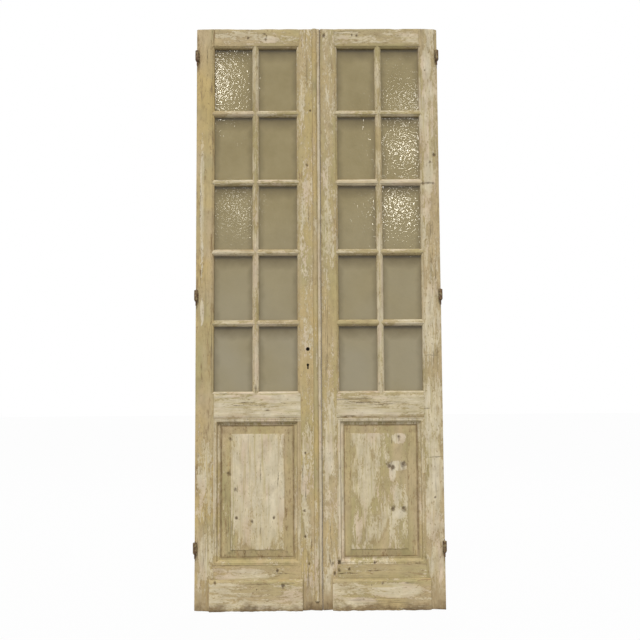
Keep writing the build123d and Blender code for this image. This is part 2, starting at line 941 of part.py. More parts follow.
def make_strike():
    """Strike plate let into the right leaf's meeting edge, pierced for both bolts."""
    across = (right.width - strike_thickness, right.width)
    pocket_y = tenon_band(middle_y, bolt_thickness + 2 * pocket_margin)
    with BuildPart() as strike:
        high = (forend_foot, forend_foot + forend_height)
        block(right, across, tenon_band(middle_y, forend_width), high)
        for high in bolt_pockets():
            block(right, across, pocket_y, high, Mode.SUBTRACT)
    return strike


def make_leaf(leaf):
    """Every piece that both leaves have, made and written."""
    name = leaf.name
    hinge_stile = make_stile(leaf, True)
    meeting_stile = make_stile(leaf, False)
    stiles = (hinge_stile, meeting_stile)
    top_socket = (glass_head, glass_head + rebate_width + bar_tenon_length)
    foot_socket = (glass_foot - rebate_width - bar_tenon_length, glass_foot)
    top_rail = make_rail(leaf, stiles, top_rail_outline, top_socket)
    lock_rail = make_rail(leaf, stiles, lock_rail_outline, foot_socket)
    bottom_rail = make_rail(leaf, stiles, bottom_rail_outline)
    upright_bar = make_upright_bar(leaf, (top_rail, lock_rail))
    save(fit_stile(leaf, hinge_stile, True), f"{name}_hinge_stile")
    save(fit_stile(leaf, meeting_stile, False), f"{name}_meeting_stile")
    save(top_rail, f"{name}_top_rail")
    save(lock_rail, f"{name}_lock_rail")
    save(bottom_rail, f"{name}_bottom_rail")
    save(upright_bar, f"{name}_upright_glazing_bar")
    for number, height in enumerate(cross_bar_heights(), start=1):
        cross_bar = make_cross_bar(leaf, height, stiles, upright_bar)
        save(cross_bar, f"{name}_cross_glazing_bar_{number}")
    for place, across, high in pane_openings(leaf):
        save(make_pane(leaf, across, high), f"{name}_pane_{place}")
    save(make_putty(leaf), f"{name}_glazing_putty")
    save(make_panel(leaf), f"{name}_raised_panel")
    save(make_moulding(leaf), f"{name}_panel_moulding")
    save(make_plinth(leaf), f"{name}_plinth_board")
    save(make_hinge_halves(leaf), f"{name}_hinge_halves")
    save(make_hinge_screws(leaf), f"{name}_hinge_screws")


make_leaf(left)
make_leaf(right)
save(make_bead(), "left_astragal_bead")
save(make_lock_case(), "lock_case")
save(make_follower(), "lock_follower")
save(make_latch(), "latch_bolt")
save(make_dead_bolt(), "dead_bolt")
save(make_strike(), "strike_plate")
save(make_hinge_pins(), "hinge_pins")
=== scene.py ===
from math import atan2, cos, pi, radians, sin

import bmesh
import bpy
import numpy as np
from mathutils import Matrix, Vector


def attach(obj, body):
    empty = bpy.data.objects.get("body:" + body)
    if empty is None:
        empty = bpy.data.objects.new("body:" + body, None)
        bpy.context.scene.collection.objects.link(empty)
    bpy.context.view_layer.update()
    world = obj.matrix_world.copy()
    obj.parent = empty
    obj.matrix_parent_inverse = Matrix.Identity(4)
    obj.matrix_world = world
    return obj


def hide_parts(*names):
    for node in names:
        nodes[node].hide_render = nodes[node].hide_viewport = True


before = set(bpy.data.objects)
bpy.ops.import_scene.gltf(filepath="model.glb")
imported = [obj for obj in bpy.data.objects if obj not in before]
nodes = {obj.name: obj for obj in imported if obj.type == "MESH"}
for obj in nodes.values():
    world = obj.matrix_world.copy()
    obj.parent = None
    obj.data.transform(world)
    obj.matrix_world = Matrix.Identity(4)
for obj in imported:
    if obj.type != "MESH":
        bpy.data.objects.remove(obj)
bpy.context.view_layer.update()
scene = bpy.context.scene
MM = 0.001
SHARP_ANGLE = radians(38)

# Sizes in millimetres, the same as the CAD's
FACE, BACK, LIP, BAR_BACK = -13.9, 31.1, 3.1, 22.1
PANEL_Y, PANEL_BACK, BEVEL_TOP, FIELD_Y = 1.1, 11.1, -7.9, -9.9
HEAD = 2450.0
GLASS_LOW, GLASS_TOP = 895.0, 2365.0
PANEL_LOW, PANEL_TOP = 185.0, 783.0
FIELD_LOW, FIELD_TOP = 245.0, 720.0
STICK, STICK_ROUND, QUIRK = 9.0, 8.0, 2.0
BAR_HALF = 14.0
BAR_HEIGHTS = (2079.4, 1779.8, 1480.2, 1180.6)
PANE_ROWS, ROW_PITCH, ROW_CENTRE = 5, 299.6, 1030.8
PANE_HALF_WIDTH, PANE_HALF_HEIGHT = 80.5, 135.8
PLINTH_TOP = 128.0
PLINTH_Y = FACE - 12.0
HINGE_HEIGHTS = (257.0, 1298.0, 2330.0)
FLAP_HALF, FLAP_DEEP, FLAP_BACK = 27.8, 2.6, FACE + 35.3
TENON_FRONT, TENON_BACK = 1.1, 16.1
TENONS = {"top_rail": (2383.0, 2433.0), "lock_rail": (801.0, 879.0), "bottom_rail": (24.0, 164.0)}
LOCK_X, LOCK_Y, SPINDLE_Z, KEY_Z = -46.0, 8.6, 1071.0, 1005.0
LEAVES = {
    "left": dict(
        side=-1, hinge=-515.0, meet=9.0, bar=-264.0,
        glass=(-439.0, -89.0), panel=(-439.0, -77.0), field=(-367.0, -145.0), plinth=(-454.5, -71.0),
    ),
    "right": dict(
        side=1, hinge=515.0, meet=13.0, bar=260.0,
        glass=(85.0, 435.0), panel=(73.0, 438.0), field=(129.0, 365.0), plinth=(51.0, 455.0),
    ),
}

# What the stiles are cut out for: ("box", low, high) or ("hole", middle, (radius, length))
LOCK_CUTS = (
    ("box", (5.7, -1.6, 956.8), (12.0, 18.8, 1117.2)),  # forend
    ("box", (-65.4, 0.9, 966.8), (6.5, 16.3, 1107.2)),  # case
    ("hole", (LOCK_X, LOCK_Y, SPINDLE_Z), (8.0, 60.0)),
    ("hole", (LOCK_X, LOCK_Y, KEY_Z), (5.5, 60.0)),
    ("box", (LOCK_X - 3, -25.0, KEY_Z - 18), (LOCK_X + 3, 40.0, KEY_Z)),  # keyhole's slot
)
STRIKE_CUTS = (
    ("box", (10.0, -1.6, 956.8), (15.7, 18.8, 1117.2)),  # plate
    ("box", (12.0, 1.2, 1059.0), (31.0, 16.0, 1083.0)),  # latch bolt's pocket
    ("box", (12.0, 1.2, 1015.0), (31.0, 16.0, 1039.0)),  # dead bolt's pocket
)


# Smooth noise, the same on every run


def lattice(i, j, k, seed):
    h = (i * 374761393 + j * 668265263 + k * 1442695041 + seed * 1274126177) & 0xFFFFFFFF
    h = ((h ^ (h >> 13)) * 1103515245) & 0xFFFFFFFF
    h = h ^ (h >> 16)
    return (h & 0xFFFF) / 32767.5 - 1.0


def drift(points, size, seed):
    """Noise from -1 to 1 at points in millimetres, with one knot every size millimetres."""
    p = np.asarray(points, float) / np.asarray(size, float)
    low = np.floor(p).astype(np.int64)
    f = p - low
    f = f * f * (3 - 2 * f)
    total = 0.0
    for corner in np.ndindex(2, 2, 2):
        weight = 1.0
        for n, step in enumerate(corner):
            weight = weight * (f[..., n] if step else 1 - f[..., n])
        total = total + weight * lattice(*(low[..., n] + step for n, step in enumerate(corner)), seed)
    return total


def drift_line(values, size, seed):
    values = np.asarray(values, float)
    return drift(np.stack([values, values * 0 + 0.37 * size, values * 0], -1), size, seed)


# Mesh building


def add_object(name, data):
    thing = bpy.data.objects.new(name, data)
    scene.collection.objects.link(thing)
    return thing


def place_piece(data, name, body, node, material):
    """Piece of (points, faces, worn, grime) that rides its body, in place of its CAD node if it has one."""
    points, faces, worn, grime_and_shade = data
    mesh = bpy.data.meshes.new(name)
    mesh.from_pydata((points * MM).tolist(), [], faces)
    # the second attribute darkens corners, creases and joints: ingrained dust and painted shade
    for label, values in (("worn", worn), ("grime_and_shade", grime_and_shade)):
        layer = mesh.attributes.new(label, "FLOAT", "POINT")
        layer.data.foreach_set("value", np.asarray(values, np.float32))
    work = bmesh.new()
    work.from_mesh(mesh)
    bmesh.ops.recalc_face_normals(work, faces=work.faces)
    work.to_mesh(mesh)
    work.free()
    mesh.polygons.foreach_set("use_smooth", [True] * len(mesh.polygons))
    mesh.set_sharp_from_angle(angle=SHARP_ANGLE)
    mesh.materials.append(material)
    piece = add_object(name, mesh)
    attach(piece, body)
    if node:
        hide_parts(node)
    return piece


def bands(count, size, closed=False):
    """Faces between count rings of size points each, and from the last ring to the first if closed."""
    faces = []
    for i in range(count if closed else count - 1):
        m = (i + 1) % count
        for j in range(size):
            k = (j + 1) % size
            faces.append((i * size + j, i * size + k, m * size + k, m * size + j))
    return faces


def loft(rings):
    """Points and faces of a tube through rings of equal length, with both ends capped."""
    count, size = rings.shape[:2]
    caps = [tuple(range(size))[::-1], tuple((count - 1) * size + j for j in range(size))]
    return rings.reshape(-1, 3), bands(count, size) + caps


# The pair's two rounded top corners, each (x, radius)
TOP_CORNERS = ((-515.0, 8.0), (515.0, 12.0))


def ragged(points):
    """Wavy, worn top and foot of the whole pair, always inside its box."""
    x, y, z = points[:, 0], points[:, 1], points[:, 2]
    wave = drift_line(x, 34.0, 11) * 0.6 + drift_line(x, 11.0, 12) * 0.4
    foot = np.clip(1.6 + 3.4 * wave, 0.0, 5.5)
    z = np.where(z < 14, z + foot * np.clip(1 - z / 14, 0, 1), z)
    wave = drift_line(x + 900, 46.0, 13) * 0.7 + drift_line(x, 15.0, 14) * 0.3
    top = np.clip(0.5 + 3.2 * wave, 0.0, 4.0)
    over = np.clip(1 - (HEAD - z) / 16, 0, 1)
    z = z - top * over
    for edge, radius in TOP_CORNERS:
        near = np.clip(radius - np.abs(x - edge), 0, radius)
        limit = HEAD - radius + np.sqrt(np.maximum(radius**2 - near**2, 0))
        z = np.where(np.abs(x - edge) < radius, np.minimum(z, limit), z)
    return np.stack([x, np.minimum(y, BACK), np.clip(z, 0.0, HEAD)], 1)


WIDEST_FACE = 15
OVERRUN, JOINT_GAP, END_ROUNDING = 0.5, 0.35, 1.6
CORNER_PULL = 0.293  # 1 - cos(45 degrees)


def board(
    corners, axis, seed, step=9.0, cuts=(), ends=("joint", "joint"), base=0.6, chip=2.2, chip_size=26.0, sway=0.3
):
    """One timber lofted along its grain.

    Each corner is (u, v, wear, low, high, grime), or has a pair (outside, inside the cuts) for u. Wear rounds the
    corner by a radius that varies along the grain. Low and high are where that line of the timber starts and ends.
    """
    low0 = min(c[3] for c in corners)
    high0 = max(c[4] for c in corners)
    count = max(4, int(round((high0 - low0) / step)))
    rows = [(s, any(a < s < b for a, b in cuts)) for s in np.linspace(low0, high0, count + 1)]
    for a, b in cuts:
        rows = [r for r in rows if abs(r[0] - a) > 2 and abs(r[0] - b) > 2]
        rows += [(a, False), (a + 0.001, True), (b - 0.001, True), (b, False)]
    s, inside = (np.array(column) for column in zip(*sorted(rows)))
    t = (s - low0) / (high0 - low0)
    zeros = np.zeros(len(s))
    lines = []
    for u, v, *rest in corners:
        u = np.where(inside, u[1], u[0]) if isinstance(u, tuple) else zeros + u
        lines.append((np.stack([u, zeros + v], 1), *rest))

    # each worn corner becomes three strips of points, a sharp one stays one
    strips = []
    for n, (place, wear, low, high, grime_and_shade) in enumerate(lines):
        span, shade_and_dirt = (low, high), zeros + grime_and_shade
        if not wear:
            strips.append((place, span, zeros, shade_and_dirt))
            continue
        d1, d2 = lines[n - 1][0] - place, lines[(n + 1) % len(lines)][0] - place
        l1, l2 = np.linalg.norm(d1, axis=1), np.linalg.norm(d2, axis=1)
        d1 = d1 / np.maximum(l1, 1e-6)[:, None]
        d2 = d2 / np.maximum(l2, 1e-6)[:, None]
        bite = drift_line(s, chip_size, seed * 7 + n) + 0.5 * drift_line(s, chip_size / 3, seed * 7 + n + 90)
        r = base + chip * np.clip(bite, 0, 1.4) ** 2 + 0.25 * (drift_line(s, 9.0, seed + n) + 1)
        r = np.minimum(r * wear, 0.42 * np.minimum(l1, l2))[:, None]
        marks = np.clip(0.35 + 0.25 * r[:, 0], 0, 1)
        for point in (place + d1 * r, place + (d1 + d2) * r * CORNER_PULL, place + d2 * r):
            strips.append((point, span, marks, shade_and_dirt))

    # wide faces get strips in between
    full = []
    for n, (point, span, marks, shade_and_dirt) in enumerate(strips):
        full.append((point, span, marks, shade_and_dirt))
        next_point, next_span, next_marks, _ = strips[(n + 1) % len(strips)]
        length = np.max(np.linalg.norm(next_point - point, axis=1))
        parts = int(length // WIDEST_FACE)
        for k in range(1, parts + 1):
            f = k / (parts + 1)
            soft = 0.25 if min(f, 1 - f) * length < 8 else 0.0
            between = [a * (1 - f) + b * f for a, b in zip(span, next_span)]
            blend = (marks * (1 - f) + next_marks * f) * soft
            full.append((point * (1 - f) + next_point * f, between, blend, zeros))
    points, spans, worn, shade_and_dirt = zip(*full)
    uv, worn, shade_and_dirt = (np.stack(columns, 1) for columns in (points, worn, shade_and_dirt))
    along = np.stack([low + t * (high - low) for low, high in spans], 1)
    middle = uv.mean(1, keepdims=True)

    def end_rings(n, way):
        """Extra rings that round an open end, or set a joint back and carry its tenon on."""
        ring, line = uv[n], along[n].copy()
        if ends[n] == "open":
            inwards = middle[n] - ring
            inwards = inwards / np.maximum(np.linalg.norm(inwards, axis=1, keepdims=True), 1e-6)
            depth = END_ROUNDING + 0.8 * drift_line(np.arange(len(ring)) * 7.0, 20.0, seed + 5)[:, None]
            along[n] = line - way * END_ROUNDING
            return [(ring + inwards * depth, line)]
        if ends[n] == "run":
            along[n] = line + way * OVERRUN
            return []
        along[n] = line = line - way * JOINT_GAP
        small = middle[n] + (ring - middle[n]) * 0.93
        return [(small, line - way * JOINT_GAP), (small, line + way * 4.0)]

    first, last = end_rings(0, -1), end_rings(-1, 1)
    rings_uv, rings_s = zip(*first[::-1], *zip(uv, along), *last)
    worn = np.concatenate([worn[:1]] * len(first) + [worn] + [worn[-1:]] * len(last))
    # the extra end rings are darkened by ingrained dust and painted shade at the ends and joints
    shade_and_dirt = np.concatenate([shade_and_dirt[:1] + 0.6] * len(first) + [shade_and_dirt] + [shade_and_dirt[-1:] + 0.6] * len(last))
    uv_all, s_all = np.stack(rings_uv), np.stack(rings_s)
    upright = axis == "Z"
    order = (uv_all[..., 0], uv_all[..., 1], s_all)
    rings = np.stack(order if upright else order[::-1], -1)
    size = (60, 50, 170) if upright else (170, 50, 60)
    rings[..., 1] += sway * drift(rings, size, seed + 3)
    rings[..., 0 if upright else 2] += sway * drift(rings, size, seed + 4)
    points, faces = loft(rings)
    return ragged(points), faces, worn.reshape(-1), shade_and_dirt.reshape(-1)


def joined(parts):
    """Several (points, faces, worn, grime) as one."""
    faces, start = [], 0
    for points, part_faces, _, _ in parts:
        faces += [tuple(i + start for i in face) for face in part_faces]
        start += len(points)
    points, worn, grime_and_shade = (np.concatenate([part[k] for part in parts]) for k in (0, 2, 3))
    return points, faces, worn, grime_and_shade


def solid_box(low, high):
    x, y, z = zip(low, high)
    points = np.array([(a, b, c) for c in z for b in y for a in x], float)
    faces = [(0, 2, 3, 1), (4, 5, 7, 6), (0, 1, 5, 4), (2, 6, 7, 3), (0, 4, 6, 2), (1, 3, 7, 5)]
    return points, faces, np.zeros(8), np.full(8, 0.2)


def carve(piece, cutters):
    """Cut boxes, and round holes along Y, out of a piece. The cutter is removed afterwards."""
    work = bmesh.new()
    for kind, a, b in cutters:
        if kind == "box":
            size = [abs(q - p) * MM for p, q in zip(a, b)]
            middle = [(p + q) / 2 * MM for p, q in zip(a, b)]
            matrix = Matrix.Translation(middle) @ Matrix.Diagonal((*size, 1.0))
            bmesh.ops.create_cube(work, size=1.0, matrix=matrix)
        else:
            radius, length = (v * MM for v in b)
            matrix = Matrix.Translation([v * MM for v in a]) @ Matrix.Rotation(pi / 2, 4, "X")
            bmesh.ops.create_cone(
                work, cap_ends=True, segments=28, radius1=radius, radius2=radius, depth=length, matrix=matrix
            )
    mesh = bpy.data.meshes.new("cutter")
    work.to_mesh(mesh)
    work.free()
    cutter = add_object("cutter", mesh)
    modifier = piece.modifiers.new("carve", "BOOLEAN")
    modifier.operation = "DIFFERENCE"
    modifier.solver = "EXACT"
    modifier.use_self = True
    modifier.object = cutter
    bpy.context.view_layer.update()
    depsgraph = bpy.context.evaluated_depsgraph_get()
    result = bpy.data.meshes.new_from_object(piece.evaluated_get(depsgraph))
    piece.modifiers.clear()
    old = piece.data
    piece.data = result
    bpy.data.meshes.remove(old)
    bpy.data.objects.remove(cutter)
    bpy.data.meshes.remove(mesh)
    result.set_sharp_from_angle(angle=SHARP_ANGLE)


# Sections


def sticking_line(edge, inward, lines, square=None, front=0.0):
    """Corners of a moulded edge. inward is +1 or -1, lines(inset) gives the low and high end."""

    def corner(inset, y, wear, grime_and_shade, end=None):
        u = edge + inward * inset
        return (u if square is None else (square, u), y, wear, *lines(inset if end is None else end), grime_and_shade)

    # the quirk, the fillet by the glass and the lip are darkened: ingrained dust and painted shade in the creases
    corners = [corner(STICK, FACE + front, 0.75, 0.0, STICK + 0.5), corner(STICK, FACE + front + QUIRK, 0, 0.4)]
    for a in (22.5, 45, 67.5, 90):
        deep = front + (QUIRK + STICK_ROUND) - STICK_ROUND * cos(radians(a))
        corners.append(corner(STICK - STICK_ROUND * sin(radians(a)), FACE + deep, 0, 0.0))
    corners.append(corner(0, FACE + front + 10.2, 0, 0.5))
    return corners + [corner(0, LIP, 0, 0.9), corner(STICK, LIP + 0.3, 0, 0.8)]


# How far the meeting edges stand out behind the front arris, and how far they fall back at the back
MEETING_SWELL, MEETING_FALL = 1.85, 1.6


def stile_data(leaf, at_hinge, seed):
    outer = leaf["hinge"] if at_hinge else leaf["meet"]
    low_end = at_hinge == (leaf["side"] < 0)
    glass = leaf["glass"][0 if low_end else 1]
    panel = leaf["panel"][0 if low_end else 1]
    inward = -1.0 if glass > outer else 1.0

    corners = [(outer, BACK, 1.0, 0.0, HEAD, 0.0), (outer, FACE, 1.0, 0.0, HEAD, 0.0)]
    if not at_hinge:
        # the meeting edge is planed aslant, fullest just behind its worn front arris, and its slanted faces are
        # darkened as painted shade in the gap
        corners = [
            (outer - inward * MEETING_FALL, BACK, 1.0, 0.0, HEAD, 0.0),
            (outer + inward * MEETING_SWELL, FACE + 9, 0, 0.0, HEAD, 0.8),
            (outer + inward * MEETING_SWELL, FACE + 6, 0, 0.0, HEAD, 1.0),
            (outer, FACE, 0.8, 0.0, HEAD, 0.3),
        ]
    corners += sticking_line(glass, inward, lambda inset: (0.0, HEAD), square=panel)
    corners.append(((panel, glass + inward * STICK), BACK, 0.7, 0.0, HEAD, 0.0))
    chip, sway = (2.0, 0.3) if at_hinge else (1.6, 0.08)
    cuts = ((GLASS_LOW - STICK, GLASS_TOP + STICK),)
    return board(corners, "Z", seed, step=8.0, cuts=cuts, ends=("open", "open"), base=0.5, chip=chip, sway=sway)


def rail_lines(leaf):
    (gl, gh), panel = leaf["glass"], leaf["panel"]
    return lambda inset: panel if inset > STICK else (gl - inset, gh + inset)


def top_rail_data(leaf, seed):
    low, high = leaf["panel"]
    corners = [(HEAD, BACK, 1.0, low, high, 0.0), (HEAD, FACE, 1.0, low, high, 0.0)]
    corners += sticking_line(GLASS_TOP, 1, rail_lines(leaf))
    corners.append((GLASS_TOP + STICK, BACK, 0.6, low, high, 0.0))
    return board(corners, "X", seed, step=7.0)


def lock_rail_data(leaf, seed):
    low, high = leaf["panel"]
    # the corners against the panel are darkened by ingrained dust and painted shade
    corners = [(PANEL_TOP, BACK, 0.6, low, high, 0.2), (PANEL_TOP, FACE, 0.8, low, high, 0.5)]
    corners += sticking_line(GLASS_LOW, -1, rail_lines(leaf))
    corners.append((GLASS_LOW - STICK, BACK, 0.6, low, high, 0.0))
    return board(corners, "X", seed, step=7.0)


def bottom_rail_data(leaf, seed):
    low, high = leaf["panel"]
    # the corners against the panel are darkened by ingrained dust and painted shade
    corners = [
        (0.0, BACK, 1.0, low, high, 0.0),
        (0.0, FACE, 1.0, low, high, 0.0),
        (PANEL_LOW, FACE, 0.9, low, high, 0.3),
        (PANEL_LOW, BACK, 0.6, low, high, 0.2),
    ]
    return board(corners, "X", seed, step=7.0)


def bar_corners(low_edge, high_edge, lines, front):
    """Closed section of a glazing bar between its two sight edges."""
    one = sticking_line(high_edge, -1, lines, front=front)
    other = sticking_line(low_edge, 1, lines, front=front)
    span = lines(STICK)
    backs = [(u, BAR_BACK, 0.5, *span, 0.0) for u in (high_edge - STICK, low_edge + STICK)]
    return one + backs + other[::-1]


def rubbed(data):
    """The same timber with its arrises less worn and its corners less darkened by ingrained dust and painted shade."""
    points, faces, worn, grime_and_shade = data
    return points, faces, worn * 0.35, grime_and_shade * 0.6


def upright_bar_data(leaf, seed):
    centre = leaf["bar"]

    def lines(inset):
        inset = min(inset, STICK)
        return (GLASS_LOW - inset, GLASS_TOP + inset)

    corners = bar_corners(centre - BAR_HALF, centre + BAR_HALF, lines, 0.4)
    data = board(corners, "Z", seed, step=7.0, ends=("run", "run"), base=0.7, chip=1.5, sway=0.15)
    return rubbed(data)


def cross_bar_data(leaf, height, seed):
    low, high = leaf["glass"]
    centre = leaf["bar"]
    settings = dict(step=6.0, ends=("run", "run"), base=0.8, chip=1.8, chip_size=17.0, sway=0.15)
    parts = []
    for n, (a, b) in enumerate(((low, centre - BAR_HALF), (centre + BAR_HALF, high))):

        def lines(inset, a=a, b=b):
            inset = min(inset, STICK)
            return (a - inset, b + inset)

        corners = bar_corners(height - BAR_HALF, height + BAR_HALF, lines, 0.8)
        parts.append(board(corners, "X", seed + 40 * n, **settings))
    return rubbed(joined(parts))


# Nested rectangles, for the panels and their mouldings


def nested(levels, nx, nz, closed=False):
    """Rings of a rectangle, each (low x, high x, low z, high z, y). Open ones get grids over the first and last."""

    def ring(x0, x1, z0, z1, y):
        points = [(x0 + (x1 - x0) * k / nx, y, z0) for k in range(nx)]
        points += [(x1, y, z0 + (z1 - z0) * k / nz) for k in range(nz)]
        points += [(x1 + (x0 - x1) * k / nx, y, z1) for k in range(nx)]
        return points + [(x0, y, z1 + (z0 - z1) * k / nz) for k in range(nz)]

    points = [p for level in levels for p in ring(*level)]
    size = 2 * (nx + nz)
    count = len(levels)
    faces = bands(count, size, closed)
    if closed:
        return np.array(points, float), faces
    for which in (0, count - 1):
        x0, x1, z0, z1, y = levels[which]
        start = len(points)
        for b in range(1, nz):
            for a in range(1, nx):
                points.append((x0 + (x1 - x0) * a / nx, y, z0 + (z1 - z0) * b / nz))

        def at(a, b, which=which, start=start):
            base = which * size
            if b == 0:
                return base + a
            if a == nx:
                return base + nx + b
            if b == nz:
                return base + nx + nz + (nx - a)
            if a == 0:
                return base + (2 * nx + nz + (nz - b)) % size
            return start + (b - 1) * (nx - 1) + a - 1

        for b in range(nz):
            for a in range(nx):
                faces.append((at(a, b), at(a + 1, b), at(a + 1, b + 1), at(a, b + 1)))
    return np.array(points, float), faces


def inset_box(box, inset, y):
    """Rectangle (low x, high x, low z, high z) drawn in by inset, at the depth y."""
    low, high, low_z, high_z = box
    return (low + inset, high - inset, low_z + inset, high_z - inset, y)


def panel_data(leaf, seed):
    whole = (*leaf["panel"], PANEL_LOW, PANEL_TOP)
    field = (*leaf["field"], FIELD_LOW, FIELD_TOP)
    back = ((28, PANEL_BACK + 5), (26, PANEL_BACK + 4), (26, PANEL_BACK), (-5, PANEL_BACK))
    sides = (*back, (-5, PANEL_Y), (24, PANEL_Y))
    levels = [inset_box(whole, inset, y) for inset, y in sides]
    start, end = inset_box(whole, 27, PANEL_Y), (*field, BEVEL_TOP)
    bevel_rings = 9
    for k in range(bevel_rings):
        f = k / (bevel_rings - 1)
        levels.append(tuple(p * (1 - f) + q * f for p, q in zip(start, end)))
    levels += [inset_box(field, inset, FIELD_Y + sunk) for inset, sunk in ((0.2, 0.7), (1.0, 0.05), (5.0, 0.0))]
    nx, nz = 40, 88
    points, faces = nested(levels, nx, nz)
    ring = 2 * (nx + nz)
    worn, grime_and_shade = np.zeros(len(points)), np.zeros(len(points))
    bevel = len(sides) * ring
    field_start = bevel + bevel_rings * ring
    edge = slice(field_start, field_start + 2 * ring)
    worn[bevel:field_start] = 0.8
    worn[edge] = 0.2
    # the bevel is darkened at its foot by the moulding, at the field's edge and along its top: ingrained dust and
    # painted shade, the top one a painted shadow of the moulding
    grime_and_shade[field_start - ring : field_start] = 0.3
    grime_and_shade[bevel : bevel + 2 * ring] = 0.9
    upper = slice(bevel + 2 * ring, field_start)
    grime_and_shade[upper] = np.where(points[upper, 2] > FIELD_TOP + 2, 0.3, grime_and_shade[upper])
    # the field's edge is chipped and its boards have cupped a little
    bite = drift(points[edge], 22.0, seed) + 0.5 * drift(points[edge], 8.0, seed + 1)
    points[edge, 1] += 1.5 * np.clip(bite, 0, 1) ** 2
    front = points[:, 1] < PANEL_Y - 0.5
    points[front, 1] += 0.35 * drift(points[front], (55, 50, 240), seed + 2)
    return points, faces, worn, grime_and_shade


def arc3(p0, p1, p2, steps):
    """Points after p0 up to p2 on the circle through three points."""
    ax, ay, bx, by, cx, cy = *p0, *p1, *p2
    d = 2 * (ax * (by - cy) + bx * (cy - ay) + cx * (ay - by))
    ux = ((ax**2 + ay**2) * (by - cy) + (bx**2 + by**2) * (cy - ay) + (cx**2 + cy**2) * (ay - by)) / d
    uy = ((ax**2 + ay**2) * (cx - bx) + (bx**2 + by**2) * (ax - cx) + (cx**2 + cy**2) * (bx - ax)) / d
    r = ((ax - ux) ** 2 + (ay - uy) ** 2) ** 0.5
    start, end = (atan2(y - uy, x - ux) for x, y in (p0, p2))
    span = (end - start + pi) % (2 * pi) - pi
    angles = [start + span * k / steps for k in range(1, steps + 1)]
    return [(ux + r * cos(a), uy + r * sin(a)) for a in angles]


def moulding_data(leaf, seed, eroded):
    # the CAD's profile, each (distance in from the stile or rail, y)
    top, crown, toe = FACE - 1.5, FACE + 1.0, PANEL_Y - 3.0
    profile = [(0.0, PANEL_Y + 0.5), (0.0, top + 0.8), (0.8, top), (3.8, top), (4.5, top + 0.7), (4.5, crown)]
    profile += arc3((4.5, crown), (12.4, -12.78), (15.0, -7.4), 5)
    profile += arc3((15.0, -7.4), (17.6, -2.02), (25.5, toe), 5)
    profile += [(27.6, toe + 0.2), (28.0, toe + 0.7), (28.0, PANEL_Y + 0.5)]
    whole = (*leaf["panel"], PANEL_LOW, PANEL_TOP)
    levels = [inset_box(whole, inset, y) for inset, y in profile]
    nx, nz = 54, 90
    points, faces = nested(levels, nx, nz, closed=True)
    ring = 2 * (nx + nz)
    worn, grime_and_shade = np.zeros(len(points)), np.zeros(len(points))
    worn[ring : 5 * ring] = 0.4
    # the outer quirk and the two creases by the panel are darkened: ingrained dust and painted shade
    for n, amount in ((5, 0.2), (len(profile) - 4, 0.55), (len(profile) - 1, 0.55)):
        grime_and_shade[n * ring : (n + 1) * ring] = amount
    x, y, z = points.T
    bite = drift(points, (24, 40, 24), seed) + 0.5 * drift(points, (8, 30, 8), seed + 1)
    depth = np.clip((PANEL_Y - y) / 16.0, 0, 1)
    away = 1.6 * np.clip(bite - 0.1, 0, 1) ** 2
    if eroded:
        foot = np.clip((PANEL_LOW + 30 - z) / 6, 0, 1)
        away = away + foot * (1.0 + 6.0 * np.clip(bite + 0.15, 0, 1))
    points[:, 1] = y + away * depth
    return points, faces, worn, grime_and_shade


def plinth_data(leaf, seed):
    low, high = leaf["plinth"]
    # its top meets the rail in a crease darkened by ingrained dust and painted shade
    corners = [
        (0.0, FACE, 0.4, low, high, 0.0),
        (0.0, PLINTH_Y, 1.2, low, high, 0.0),
        (PLINTH_TOP - 8, PLINTH_Y, 1.0, low, high, 0.0),
        (PLINTH_TOP, PLINTH_Y + 8, 0.7, low, high, 0.1),
        (PLINTH_TOP, FACE, 0.0, low, high, 1.0),
    ]
    return board(corners, "X", seed, step=6.0, ends=("open", "open"), base=1.0, chip=2.2, sway=0.25)


def bead_data(seed):
    centre, half, rise = -12.5, 10.5, 9.0
    radius = (half**2 + rise**2) / (2 * rise)
    lift = rise - radius
    spread = atan2(half, -lift)
    corners = []
    for k in range(9):
        a = -spread + 2 * spread * k / 8
        u = centre + radius * sin(a)
        v = FACE - (lift + radius * cos(a))
        # both feet of the bead are darkened: ingrained dust and painted shade in the creases
        corners.append((u, min(v, FACE + 0.4), 0, 38.0, HEAD, 0.9 if k in (0, 8) else 0.0))
    return board(corners, "Z", seed, step=7.0, ends=("open", "open"), sway=0.25)


# Materials


def srgb(*color):
    parts = [c / 255 for c in color]
    return (*(p / 12.92 if p <= 0.04045 else ((p + 0.055) / 1.055) ** 2.4 for p in parts), 1.0)


CREAM = srgb(215, 203, 176)
CREAM_OLD = srgb(200, 186, 152)
ROSE = srgb(204, 181, 155)
TAN = srgb(192, 173, 136)
OLIVE = srgb(177, 165, 119)
OCHRE = srgb(198, 174, 116)
PINE = srgb(184, 161, 118)
BROWN = srgb(142, 118, 81)
DARK = srgb(80, 62, 38)
GLASS_PALE = srgb(160, 145, 103)
GLASS_DULL = srgb(148, 133, 90)
GLASS_GREY = srgb(160, 151, 126)
# the colour of painted shade on the glass
GLASS_SHADE = srgb(96, 82, 48)
IRON_DARK, IRON_PALE, RUST = srgb(62, 51, 38), srgb(100, 76, 52), srgb(122, 84, 54)
# near-dark, painted shade for the parts seen down the lock holes
DEEP_SHADE = srgb(20, 15, 9)
PUTTY_DARK, PUTTY_PALE = srgb(150, 136, 104), srgb(192, 180, 148)
WHITE = (1.0, 1.0, 1.0, 1.0)


